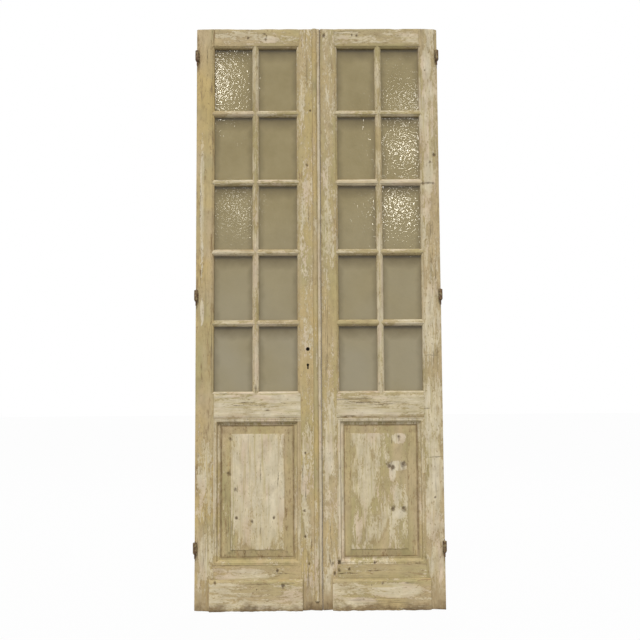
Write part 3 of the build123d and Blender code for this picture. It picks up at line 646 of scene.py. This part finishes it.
class Tree:
    """The node tree of a new material or world, written as plain expressions."""

    def __init__(self, name, kind="materials", output="ShaderNodeOutputMaterial"):
        self.owner = getattr(bpy.data, kind).new(name)
        self.owner.use_nodes = True
        self.tree = self.owner.node_tree
        self.tree.nodes.clear()
        self.out = self.add(output)

    def add(self, kind, **settings):
        node = self.tree.nodes.new(kind)
        for key, value in settings.items():
            setattr(node, key, value)
        return node

    def feed(self, socket, value):
        if isinstance(value, bpy.types.NodeSocket):
            self.tree.links.new(value, socket)
        elif value is not None:
            socket.default_value = value

    def math(self, operation, a, b=None):
        node = self.add("ShaderNodeMath", operation=operation)
        self.feed(node.inputs[0], a)
        self.feed(node.inputs[1], b)
        return node.outputs[0]

    def add_part(self, total, value, factor):
        return self.math("ADD", total, self.math("MULTIPLY", value, factor))

    def vector(self, operation, a, b):
        node = self.add("ShaderNodeVectorMath", operation=operation)
        self.feed(node.inputs[0], a)
        self.feed(node.inputs[1], b)
        return node.outputs["Value" if operation == "DISTANCE" else "Vector"]

    def noise(self, place, scale, detail=3.0, rough=0.5, bend=0.0):
        node = self.add("ShaderNodeTexNoise")
        names = ("Vector", "Scale", "Detail", "Roughness", "Distortion")
        for key, value in zip(names, (place, scale, detail, rough, bend)):
            self.feed(node.inputs[key], value)
        return node.outputs["Fac"]

    def centred(self, *settings):
        """Noise that is 0 in its middle."""
        return self.math("SUBTRACT", self.noise(*settings), 0.5)

    def span(self, value, low, high, to_low=0.0, to_high=1.0, smooth=False):
        node = self.add("ShaderNodeMapRange", clamp=True)
        if smooth:
            node.interpolation_type = "SMOOTHSTEP"
        for socket, v in zip(node.inputs, (value, low, high, to_low, to_high)):
            self.feed(socket, v)
        return node.outputs[0]

    def mix(self, part, a, b, blend="MIX"):
        node = self.add("ShaderNodeMix", data_type="RGBA", blend_type=blend)
        self.feed(node.inputs["Factor"], part)
        self.feed(node.inputs[6], a)
        self.feed(node.inputs[7], b)
        return node.outputs[2]

    def attribute(self, name):
        return self.add("ShaderNodeAttribute", attribute_name=name).outputs["Fac"]

    def object_place(self):
        return self.add("ShaderNodeTexCoord").outputs["Object"]

    def split(self, place):
        node = self.add("ShaderNodeSeparateXYZ")
        self.feed(node.inputs[0], place)
        return node.outputs

    def shader(self, color, roughness, height, distance, strength, **fixed):
        node = self.add("ShaderNodeBsdfPrincipled")
        self.feed(node.inputs["Base Color"], color)
        self.feed(node.inputs["Roughness"], roughness)
        for key, value in fixed.items():
            node.inputs[key.replace("_", " ")].default_value = value
        bump = self.add("ShaderNodeBump")
        bump.inputs["Distance"].default_value = distance
        bump.inputs["Strength"].default_value = strength
        self.feed(bump.inputs["Height"], height)
        self.feed(node.inputs["Normal"], bump.outputs[0])
        self.feed(self.out.inputs["Surface"], node.outputs[0])
        return self.owner


def old_paint(
    name, grain, seed, cream, turn=(800, 1000), stain=0.9, yellow=0.2, cracks=0.5, flaky=0.0, underside_shade=0.24, damp=0.0,
    spots=(), patches=(), lines=(),
):
    """Aged pine under an olive undercoat and flaking cream paint.

    cream is the paint's cover, or the two covers below and above the heights in turn. soot is painted shade that
    darkens what faces down, and damp browns the foot. spots are (x, z, radius) of holes and knots. patches are (x, z,
    half width, half height, amount) where paint is kept or lost. lines are (x, z, half width, half height) of dark
    cracks. All lengths are in millimetres.
    """
    t = Tree(name)
    here = t.object_place()
    place = t.vector("ADD", here, (seed * 0.37, seed * 0.61, seed * 0.23))
    axes = t.split(here)
    height = axes[2]

    def drawn_out(share):
        """The place with its measure along the grain cut to a share, which draws noise out along the grain."""
        return t.vector("MULTIPLY", place, (share, 1.0, 1.0) if grain == "X" else (1.0, 1.0, share))

    def oval(x, z, half_x, half_z, bend=0.0):
        """0 in the middle of a mark and 1 on its rim. bend moves it across its length."""
        dx, dz = t.math("SUBTRACT", axes[0], x * MM), t.math("SUBTRACT", height, z * MM)
        if half_x < half_z:
            dx = t.math("ADD", dx, bend)
        else:
            dz = t.math("ADD", dz, bend)
        squares = (t.math("POWER", t.math("DIVIDE", d, half * MM), 2.0) for d, half in ((dx, half_x), (dz, half_z)))
        return t.math("ADD", *squares)

    fine_place, flake_place, wide_place = drawn_out(0.05), drawn_out(0.16), drawn_out(0.4)

    # bare wood
    rings = t.noise(fine_place, 75.0, 4.0, 0.6, 0.5)
    fibres = t.noise(fine_place, 420.0, 3.0, 0.7)
    tint = t.noise(flake_place, 14.0, 2.0, 0.5)
    wood = t.mix(t.span(rings, 0.34, 0.64), BROWN, PINE)
    wood = t.mix(t.span(rings, 0.52, 0.72, 0.0, 0.75), wood, OCHRE)
    wood = t.mix(t.span(fibres, 0.35, 0.62, 0.30, 0.0), wood, DARK)
    # undercoat, thin and soaked in
    under = t.mix(t.span(tint, 0.38, 0.62), OLIVE, TAN)
    under = t.mix(t.span(t.noise(place, 5.0, 2.0, 0.5), 0.42, 0.6, 0.0, yellow), under, OCHRE)
    soak = t.noise(flake_place, 52.0, 8.0, 0.7, 0.3)
    soak = t.add_part(soak, t.span(fibres, 0.35, 0.65), 0.10)
    edge = 0.58 - 0.30 * stain
    worn = t.math("MULTIPLY", t.attribute("worn"), t.span(t.noise(place, 60.0, 4.0, 0.6), 0.36, 0.6))
    soak = t.add_part(soak, worn, -0.18)
    under_mask = t.span(soak, edge, edge + 0.09)
    color = t.mix(t.math("MULTIPLY", under_mask, 0.88), wood, under)
    # cream paint, chipped along the grain
    low, high = cream if isinstance(cream, tuple) else (cream, cream)
    cover = t.span(height, turn[0] * MM, turn[1] * MM, low, high, smooth=True)
    area = t.noise(wide_place, 9.0, 3.0, 0.6)
    chips = t.noise(flake_place, 72.0, 9.0, 0.76, 0.5)
    bits = t.noise(wide_place, 210.0, 3.0, 0.6)
    flakes = t.add_part(t.math("MULTIPLY", area, 0.42), chips, 0.42)
    flakes = t.add_part(flakes, bits, 0.16)
    flakes = t.add_part(flakes, t.math("SUBTRACT", cover, 0.5), 0.30)
    flakes = t.add_part(flakes, worn, -0.12)
    flakes = t.math("SUBTRACT", flakes, t.span(t.attribute("worn"), 0.62, 0.8, 0.0, 0.07))
    flakes = t.add_part(flakes, t.math("SUBTRACT", bits, 0.5), flaky)
    shape = t.add_part(t.math("MULTIPLY", area, 5.0), chips, 5.0)
    shape = t.math("SUBTRACT", t.add_part(shape, bits, 4.0), 7.0)
    for *mark, amount in patches:
        reach = t.math("ADD", oval(*mark), shape)
        flakes = t.math("ADD", flakes, t.span(reach, 0.3, 1.5, amount, 0.0))
    cream_mask = t.span(flakes, 0.492, 0.512)
    # a painted shadow just outside each flake of cream, as under a lifted paint edge
    rim = t.math("SUBTRACT", t.span(flakes, 0.470, 0.492), cream_mask)
    color = t.mix(t.math("MULTIPLY", rim, 0.45), color, BROWN)
    paint = t.mix(t.span(flakes, 0.512, 0.60), CREAM_OLD, CREAM)
    paint = t.mix(t.span(t.noise(place, 11.0, 3.0, 0.6), 0.45, 0.65, 0.0, 0.5), paint, CREAM_OLD)
    paint = t.mix(t.span(t.noise(wide_place, 17.0, 2.0, 0.5), 0.52, 0.66, 0.0, 0.55), paint, ROSE)
    streak = t.noise(fine_place, 95.0, 4.0, 0.62, 0.3)
    paint = t.mix(t.span(streak, 0.50, 0.64, 0.0, 0.7), paint, under)
    color = t.mix(cream_mask, color, paint)
    # cracks along the grain
    crack = t.math("ABSOLUTE", t.centred(drawn_out(0.0175), 46.0, 4.0, 0.55, 0.2))
    crack = t.span(crack, 0.0, 0.006, 0.8, 0.0)
    where = t.span(t.noise(flake_place, 16.0, 2.0, 0.5), 0.60 - 0.14 * cracks, 0.66 - 0.10 * cracks)
    crack = t.math("MULTIPLY", crack, where)
    bend = t.math("MULTIPLY", t.centred(place, 22.0, 3.0, 0.6), 0.014)
    broken = t.span(t.noise(place, 75.0, 4.0, 0.65), 0.36, 0.58, 0.15, 1.0)
    for mark in lines:
        one = t.math("MULTIPLY", t.span(oval(*mark, bend), 0.3, 1.25, 1.0, 0.0), broken)
        crack = t.math("MAXIMUM", crack, one)
    lumpy = t.centred(place, 75.0, 2.0, 0.5)
    middle = t.vector("MULTIPLY", here, (1.0, 0.0, 0.75))
    for x, z, radius in spots:
        rough = t.math("MULTIPLY", lumpy, radius * 2.0 * MM)
        away = t.math("ADD", t.vector("DISTANCE", middle, (x * MM, 0.0, 0.75 * z * MM)), rough)
        one = t.span(away, radius * 0.25 * MM, radius * 1.05 * MM, 1.15, 0.0)
        crack = t.math("MAXIMUM", crack, one)
    color = t.mix(t.math("MULTIPLY", crack, 0.74), color, DARK)
    # corners darkened by ingrained dust and painted shade, then dust and specks
    grime_and_shade = t.math("MULTIPLY", t.attribute("grime_and_shade"), t.span(t.noise(place, 35.0, 4.0, 0.6), 0.3, 0.62, 0.35, 0.95))
    color = t.mix(grime_and_shade, color, t.mix(0.5, BROWN, DARK))
    dust = t.span(t.noise(place, 24.0, 6.0, 0.65), 0.5, 0.78, 0.0, 0.36)
    color = t.mix(dust, color, BROWN)
    specks = t.span(t.noise(wide_place, 150.0, 2.0, 0.5), 0.64, 0.69, 0.0, 0.6)
    color = t.mix(specks, color, BROWN)
    color = t.mix(1.0, color, t.span(t.noise(wide_place, 40.0, 4.0, 0.6), 0.3, 0.7, 0.88, 1.11), "MULTIPLY")
    # painted shade on what faces down, damp and rot at the foot and a little rot on the top
    facing = t.split(t.add("ShaderNodeNewGeometry").outputs["Normal"])[2]
    color = t.mix(t.span(facing, -0.9, -0.15, underside_shade, 0.0), color, t.mix(0.5, BROWN, DARK))
    wet = t.add_part(height, t.centred(place, 16.0, 4.0, 0.65), 0.16)
    color = t.mix(t.span(wet, 0.045, 0.125, damp, 0.0, smooth=True), color, t.mix(rings, BROWN, TAN))
    rot = t.math("MAXIMUM", t.span(wet, 0.0, 0.034, 0.8, 0.0), t.span(wet, 2.450, 2.480, 0.0, 0.15))
    color = t.mix(rot, color, t.mix(t.span(rings, 0.3, 0.7), DARK, BROWN))
    relief = t.math("MULTIPLY", cream_mask, 0.34)
    relief = t.math("ADD", relief, t.math("MULTIPLY", fibres, t.span(cream_mask, 0.0, 1.0, 0.32, 0.08)))
    relief = t.math("SUBTRACT", t.add_part(relief, rings, 0.34), crack)
    roughness = t.span(cream_mask, 0.0, 1.0, 0.78, 0.60)
    return t.shader(color, roughness, relief, distance=0.0011, strength=0.9, Specular_IOR_Level=0.35)


def obscure_glass(name, centre, seed):
    """Hammered glass with painted shade under the top of each pane, and painted shade with some old dust along its
    sides, for the five panes of one column.
    """
    t = Tree(name)
    here = t.object_place()
    place = t.vector("ADD", here, (seed * 0.71, 0.0, seed * 0.39))
    axes = t.split(here)
    height = axes[2]
    color = t.mix(t.span(t.noise(place, 9.0, 4.0, 0.6), 0.35, 0.7), GLASS_PALE, GLASS_DULL)
    low = t.span(height, 1.05, 1.75, 0.75, 0.0)
    dull = t.math("MULTIPLY", low, t.span(t.noise(place, 3.5, 2.0, 0.5), 0.3, 0.6, 0.4, 1.0))
    color = t.mix(dull, color, GLASS_GREY)
    # painted shade: a band under the top of each pane and a fainter one along its sides, wobbled by noise
    side = t.math("ABSOLUTE", t.math("SUBTRACT", axes[0], centre * MM))
    shade_wobble = t.math("MULTIPLY", t.centred(place, 20.0, 2.0, 0.5), 0.03)
    row = t.math("SUBTRACT", height, (ROW_CENTRE - ROW_PITCH / 2) * MM)
    row = t.math("SUBTRACT", t.math("MODULO", row, ROW_PITCH * MM), (ROW_PITCH / 2 + PANE_HALF_HEIGHT) * MM)
    upper = t.span(t.math("ADD", row, shade_wobble), -0.062, 0.0, 0.0, 0.90)
    rim = t.math("ADD", t.math("SUBTRACT", side, PANE_HALF_WIDTH * MM), shade_wobble)
    edges = t.span(rim, -0.030, 0.0, 0.0, 0.40, smooth=True)
    color = t.mix(t.math("MAXIMUM", upper, edges), color, GLASS_SHADE)
    ripple = t.noise(place, 84.0, 0.6, 0.5, 0.7)
    gloss = dict(IOR=1.52, Transmission_Weight=0.08, Specular_IOR_Level=0.5)
    return t.shader(color, 0.07, ripple, distance=0.00045, strength=1.0, **gloss)


def iron(name, rust, painted=0.0, shade_dark=0.0):
    t = Tree(name)
    place = t.object_place()
    patch = t.noise(place, 70.0, 7.0, 0.7, 0.4)
    color = t.mix(t.span(patch, 0.38, 0.62), IRON_DARK, IRON_PALE)
    color = t.mix(t.span(t.noise(place, 240.0, 3.0, 0.6), 0.45, 0.7, 0.0, rust), color, RUST)
    kept = t.span(t.noise(place, 110.0, 6.0, 0.7, 0.3), 0.60 - 0.25 * painted, 0.64 - 0.25 * painted)
    color = t.mix(t.math("MULTIPLY", kept, painted), color, OLIVE)
    # an optional darkening to near-dark, painted shade for the parts seen down the lock holes
    color = t.mix(shade_dark, color, DEEP_SHADE)
    relief = t.add_part(patch, t.noise(place, 420.0, 3.0, 0.6), 0.5)
    return t.shader(color, t.span(patch, 0.3, 0.7, 0.5, 0.85), relief, distance=0.0006, strength=0.8, Metallic=0.3)


def dry_putty():
    t = Tree("dry_putty")
    place = t.object_place()
    lumps = t.noise(place, 60.0, 5.0, 0.6)
    color = t.mix(t.span(lumps, 0.35, 0.65), PUTTY_DARK, PUTTY_PALE)
    color = t.mix(t.span(t.noise(place, 260.0, 3.0, 0.7), 0.52, 0.7, 0.0, 0.6), color, BROWN)
    return t.shader(color, 0.85, t.noise(place, 180.0, 4.0, 0.6), distance=0.0009, strength=0.8)


# The leaves

# What is particular to each timber's paint, as told in old_paint
PAINT = {
    "left_hinge_stile": dict(
        cream=(0.50, 0.16), turn=(500, 950), stain=0.6, yellow=0.85, damp=0.75,
        patches=((-490, 1675, 7, 240, 0.40), (-489, 1230, 6, 50, 0.36), (-451, 1650, 9, 700, 0.10)),
        lines=((-497, 1720, 1.2, 60), (-471, 2330, 1.5, 40)),
    ),
    "left_meeting_stile": dict(
        cream=(0.44, 0.38), turn=(860, 1060), stain=0.7, yellow=0.5, cracks=0.9, flaky=0.30, damp=0.85,
        patches=(
            # the second patch keeps more cream on the strip beside the bead: a painted highlight along the meeting edge
            (-66, 2130, 12, 120, 0.08), (5, 1300, 6, 1500, 0.26), (-52, 700, 20, 60, 0.08), (-66, 500, 12, 150, 0.08),
            (-48, 330, 12, 90, 0.08), (-48, 1006, 20, 36, -0.16),
        ),
        spots=((-45, 1854, 7), (-30, 2090, 5), (-62, 402, 7), (-58, 640, 5), (-44, 190, 6), (-60, 300, 6)),
        lines=((-40, 1640, 1.3, 45), (-56, 470, 1.6, 50), (-20, 2080, 3, 14), (-70, 560, 2.4, 50), (-34, 250, 2.2, 40)),
    ),
    "right_hinge_stile": dict(
        cream=(0.56, 0.50), turn=(1200, 1500), stain=0.85, yellow=0.12, damp=0.85,
        patches=((466, 2290, 20, 60, 0.10), (470, 1820, 18, 90, 0.10), (480, 560, 20, 110, 0.10)),
        spots=((490, 1774, 6), (496, 1896, 9), (479, 1865, 6), (447, 1772, 7), (462, 2266, 5), (477, 455, 5)),
        lines=((468, 1774, 30, 5.0), (470, 1043, 34, 1.3), (476, 620, 38, 1.6), (446, 820, 16, 3)),
    ),
    "right_meeting_stile": dict(
        cream=(0.50, 0.42), turn=(850, 1100), stain=0.7, yellow=0.35, flaky=0.1, damp=0.9,
        patches=((48, 520, 12, 60, -0.12), (42, 640, 16, 120, 0.10)),
        spots=((49, 187, 8), (60, 150, 7), (30, 2420, 8)),
        lines=((40, 205, 3, 22), (46, 300, 1.5, 60)),
    ),
    "left_top_rail": dict(
        cream=0.36, stain=0.95, yellow=0.25,
        patches=((-205, 2404, 40, 16, 0.12),),
        spots=((-296, 2411, 6), (-222, 2404, 7)),
        lines=((-227, 2428, 9, 4), (-218, 2416, 4, 9)),
    ),
    "right_top_rail": dict(
        cream=0.42, stain=0.95,
        spots=((170, 2420, 6), (150, 2424, 6)),
    ),
    "left_lock_rail": dict(
        cream=0.72, stain=0.8,
        lines=(
            (-335, 838, 26, 2.0), (-300, 850, 34, 1.6), (-213, 816, 16, 3.0), (-146, 846, 16, 2.2),
            (-250, 838, 40, 1.4),
        ),
    ),
    "right_lock_rail": dict(
        cream=0.56, stain=0.8, yellow=0.1,
        patches=((200, 806, 120, 14, 0.08),),
        lines=((200, 848, 100, 3.4), (260, 839, 60, 2.6), (120, 790, 34, 4.0)),
    ),
    "left_bottom_rail": dict(
        cream=0.40, stain=0.75, yellow=0.3,
        patches=((-290, 160, 60, 8, 0.12),), spots=((-175, 163, 7),), lines=((-150, 150, 40, 1.6),),
    ),
    "right_bottom_rail": dict(
        cream=0.38, stain=0.65, flaky=0.2,
        spots=((78, 160, 9), (120, 166, 6)), lines=((110, 150, 50, 3.0), (225, 160, 36, 3.0)),
    ),
    "left_plinth_board": dict(
        cream=0.62, stain=0.75, yellow=0.3,
        spots=((-152, 105, 10), (-430, 118, 6), (-260, 90, 3)), lines=((-250, 110, 60, 1.6), (-130, 112, 30, 1.8)),
    ),
    "right_plinth_board": dict(
        cream=0.54, yellow=0.4,
        patches=((310, 84, 90, 26, 0.10), (165, 38, 50, 14, 0.14)), spots=((256, 112, 5), (210, 104, 4)),
    ),
    "left_raised_panel": dict(
        cream=0.60, stain=0.85, cracks=0.6, flaky=0.06,
        patches=((-256, 500, 90, 190, 0.07), (-392, 480, 12, 260, 0.08)),
        spots=((-345, 376, 8), (-189, 375, 6), (-279, 360, 7), (-349, 490, 7), (-374, 560, 10), (-368, 700, 8)),
        lines=((-243, 563, 2.2, 46), (-172, 534, 2.6, 38), (-340, 492, 3, 14), (-245, 330, 1.6, 30)),
    ),
    "right_raised_panel": dict(
        cream=0.46, yellow=0.12, flaky=0.05,
        patches=(
            (331, 699, 24, 18, 0.20), (322, 584, 34, 16, 0.20), (331, 388, 24, 18, 0.20), (302, 556, 12, 30, 0.16),
            (228, 400, 50, 110, 0.06), (180, 560, 40, 110, 0.06),
        ),
        spots=((331, 703, 8), (290, 590, 14), (304, 578, 12), (346, 590, 13), (302, 409, 12), (346, 411, 11)),
        lines=((330, 694, 2, 12), (345, 572, 2, 16), (300, 690, 1.4, 30)),
    ),
    # painted light: on both mouldings the left upright and the top keep more cream and the foot less, so they read
    # lighter on the left and top and darker at the foot
    "left_panel_moulding": dict(
        cream=0.48, yellow=0.3, underside_shade=0.12,
        patches=((-446, 480, 14, 400, 0.14), (-256, 780, 220, 12, 0.10), (-256, 206, 240, 22, -0.14)),
    ),
    "right_panel_moulding": dict(
        cream=0.48, yellow=0.15, underside_shade=0.12,
        patches=((90, 480, 14, 400, 0.12), (250, 780, 220, 12, 0.10), (250, 206, 240, 22, -0.12)),
        spots=((80, 192, 11), (225, 192, 8)),
    ),
    "left_upright_glazing_bar": dict(
        cream=(0.58, 0.54), turn=(1300, 1600), yellow=0.3, lines=((-264, 906, 5, 20),),
    ),
    "right_upright_glazing_bar": dict(
        cream=(0.56, 0.54), turn=(1300, 1600), lines=((252, 925, 4, 9),),
    ),
    "left_astragal_bead": dict(cream=(0.40, 0.32), turn=(700, 1100), stain=0.8, yellow=0.7),
}
CROSS_BAR_PAINT = dict(cream=0.58)


def paint_for(node, seed):
    """Paint of a timber, with its grain running across on rails, plinth boards and cross bars."""
    across = node.endswith(("rail", "plinth_board")) or "cross" in node
    return old_paint("paint_" + node, "X" if across else "Z", seed, **PAINT.get(node, CROSS_BAR_PAINT))


for seed, (name, leaf) in zip((3, 53), LEAVES.items()):
    body = name + "_leaf"
    timber = {
        "hinge_stile": stile_data(leaf, True, seed),
        "meeting_stile": stile_data(leaf, False, seed + 1),
        "top_rail": top_rail_data(leaf, seed + 2),
        "lock_rail": lock_rail_data(leaf, seed + 3),
        "bottom_rail": bottom_rail_data(leaf, seed + 4),
        "upright_glazing_bar": upright_bar_data(leaf, seed + 5),
        "raised_panel": panel_data(leaf, seed + 6),
        "panel_moulding": moulding_data(leaf, seed + 7, name == "right"),
        "plinth_board": plinth_data(leaf, seed + 8),
    }
    side, outer, meet = leaf["side"], leaf["hinge"], leaf["meet"]
    for part, (low, high) in TENONS.items():
        start, end = min(outer, meet) - 0.2, max(outer, meet) + 0.2
        tenon = solid_box((start, TENON_FRONT, low), (end, TENON_BACK, high))
        timber[part] = joined([timber[part], tenon])
    for n, height in enumerate(BAR_HEIGHTS, start=1):
        timber[f"cross_glazing_bar_{n}"] = cross_bar_data(leaf, height, seed + 10 + n)
    for n, (part, data) in enumerate(timber.items()):
        node = f"{name}_{part}"
        piece = place_piece(data, "old_" + node, body, node, paint_for(node, seed + n))
        if part == "hinge_stile":
            start, end = sorted((outer - side * FLAP_DEEP, outer + side * 4))
            flaps = [
                ("box", (start, FACE - 2.0, height - FLAP_HALF), (end, FLAP_BACK, height + FLAP_HALF))
                for height in HINGE_HEIGHTS
            ]
            carve(piece, flaps)
        elif part == "meeting_stile":
            carve(piece, LOCK_CUTS if name == "left" else STRIKE_CUTS)

bead_paint = paint_for("left_astragal_bead", 5)
place_piece(bead_data(7), "old_astragal_bead", "left_leaf", "left_astragal_bead", bead_paint)

# Finishes of the CAD pieces that stay
rusty = iron("rusty_iron", 0.9)
hinge_iron = iron("painted_hinge_iron", 0.75, 0.4)
dull_iron = iron("dull_iron", 0.35)
# near-dark iron, painted shade for the lock holes
hole_shade = iron("hole_shade_iron", 0.15, shade_dark=0.85)
putty = dry_putty()
finishes = {"hinge_pins": rusty, "lock_follower": hole_shade}
finishes.update(dict.fromkeys(("lock_case", "latch_bolt", "dead_bolt", "strike_plate"), dull_iron))
glass_count = 0
for name, leaf in LEAVES.items():
    finishes[name + "_glazing_putty"] = putty
    finishes[name + "_hinge_halves"] = hinge_iron
    finishes[name + "_hinge_screws"] = rusty
    low, high = leaf["glass"]
    for column, inner in (("a", low + leaf["bar"] - BAR_HALF), ("b", high + leaf["bar"] + BAR_HALF)):
        glass = obscure_glass(f"obscure_glass_{name}_{column}", inner / 2, glass_count)
        glass_count += 1
        for row in range(1, PANE_ROWS + 1):
            finishes[f"{name}_pane_{row}{column}"] = glass
for node, finish in finishes.items():
    materials = nodes[node].data.materials
    materials.clear()
    materials.append(finish)

# Both lock holes look dark: painted shade stands there, a dark sheet hanging behind the keyhole and a dark block
# filling the follower's square, and the follower itself is made near-dark. Neither piece is in the CAD.
shade_sheet = solid_box((LOCK_X - 7, 3.2, KEY_Z - 19.5), (LOCK_X + 7, 3.8, KEY_Z + 6.5))
place_piece(shade_sheet, "keyhole_shade_sheet", "left_leaf", None, hole_shade)
shade_plug = solid_box((LOCK_X - 3.55, 6.6, SPINDLE_Z - 3.55), (LOCK_X + 3.55, 10.6, SPINDLE_Z + 3.55))
place_piece(shade_plug, "spindle_hole_shade", "lock_follower", None, hole_shade)


# Floor, light and camera. The floor reaches 30 m out and glows white where it is seen directly, save for the
# doors' shadow, and the white sky lights the doors with a part of its strength.
FLOOR_REACH = 30
FLOOR_GREY, FLOOR_GLOW = (0.55, 0.55, 0.54, 1.0), 0.965
SKY_ON_OBJECT = 0.26


def seen_directly(t):
    """1 for rays that come from the camera, off gloss or through glass, which see the studio white."""
    path = t.add("ShaderNodeLightPath").outputs
    seen = t.math("MAXIMUM", path["Is Camera Ray"], path["Is Glossy Ray"])
    return t.math("MAXIMUM", seen, path["Is Transmission Ray"])


t = Tree("floor")
diffuse, glow, mixer = (t.add("ShaderNode" + kind) for kind in ("BsdfDiffuse", "Emission", "MixShader"))
for socket, value in (
    (diffuse.inputs["Color"], FLOOR_GREY),
    (glow.inputs["Color"], WHITE),
    (mixer.inputs[0], t.math("MULTIPLY", seen_directly(t), FLOOR_GLOW)),
    (mixer.inputs[1], diffuse.outputs[0]),
    (mixer.inputs[2], glow.outputs[0]),
    (t.out.inputs["Surface"], mixer.outputs[0]),
):
    t.feed(socket, value)
floor_mesh = bpy.data.meshes.new("floor")
square = [(x * FLOOR_REACH, y * FLOOR_REACH, 0) for x, y in ((-1, -1), (1, -1), (1, 1), (-1, 1))]
floor_mesh.from_pydata(square, [], [(0, 1, 2, 3)])
floor_mesh.materials.append(t.owner)
floor = add_object("floor", floor_mesh)

t = Tree("studio", "worlds", "ShaderNodeOutputWorld")
sky = t.add("ShaderNodeBackground")
t.feed(sky.inputs["Color"], WHITE)
t.feed(sky.inputs["Strength"], t.span(seen_directly(t), 0.0, 1.0, SKY_ON_OBJECT, 1.0))
t.feed(t.out.inputs["Surface"], sky.outputs[0])
scene.world = t.owner


def add_lamp(name, kind, energy, **settings):
    lamp = bpy.data.lights.new(name, kind)
    lamp.energy = energy
    for key, value in settings.items():
        setattr(lamp, key, value)
    return add_object(name, lamp)


def turned(direction):
    return direction.to_track_quat("-Z", "Y").to_euler()


add_lamp("skylight", "SUN", 2.65, angle=radians(26)).rotation_euler = turned(Vector((0.14, 1.0, -1.2)))
behind = add_lamp("behind", "AREA", 150, shape="RECTANGLE", size=3.0, size_y=2.0)
behind.location = (0.4, 4.0, 5.0)
behind.rotation_euler = turned(Vector((0, 0, 1.1)) - behind.location)

# The camera was fitted to the photo: its place in metres, its turns in degrees
CAMERA = (-0.0322, -3.7306, 0.8956)
YAW, PITCH, ROLL = 0.5854, 4.567, -0.352

# Small lamps whose reflections the camera sees at these places on the glass, each (x, z, power)
GLINTS = (
    (-0.430, 2.27, 3.5), (-0.426, 2.18, 4.5), (-0.335, 1.66, 1.8), (0.398, 2.13, 2.6),
    (0.374, 1.93, 5.5), (0.338, 1.67, 5.0),
)
for n, (glass_x, glass_z, power) in enumerate(GLINTS):
    glint = add_lamp(f"glint_{n}", "POINT", power, shadow_soft_size=0.062, color=(1.0, 0.95, 0.82))
    glint.location = (2 * glass_x - CAMERA[0], CAMERA[1], 2 * glass_z - CAMERA[2])
    glint.visible_diffuse = False

yaw, pitch, roll = radians(YAW), radians(PITCH), radians(ROLL)
forward = Vector((sin(yaw) * cos(pitch), cos(yaw) * cos(pitch), sin(pitch)))
right = Vector((cos(yaw), -sin(yaw), 0))
up = right.cross(forward)
tilted_right = right * cos(roll) + up * sin(roll)
tilted_up = up * cos(roll) - right * sin(roll)
camera_data = bpy.data.cameras.new("camera")
camera_data.lens = 50.0
camera_data.sensor_width = 36.0
camera = add_object("camera", camera_data)
axes = (tilted_right, tilted_up, -forward, Vector(CAMERA))
camera.matrix_world = Matrix((*zip(*axes), (0, 0, 0, 1)))
scene.camera = camera
scene.view_settings.view_transform = "Standard"
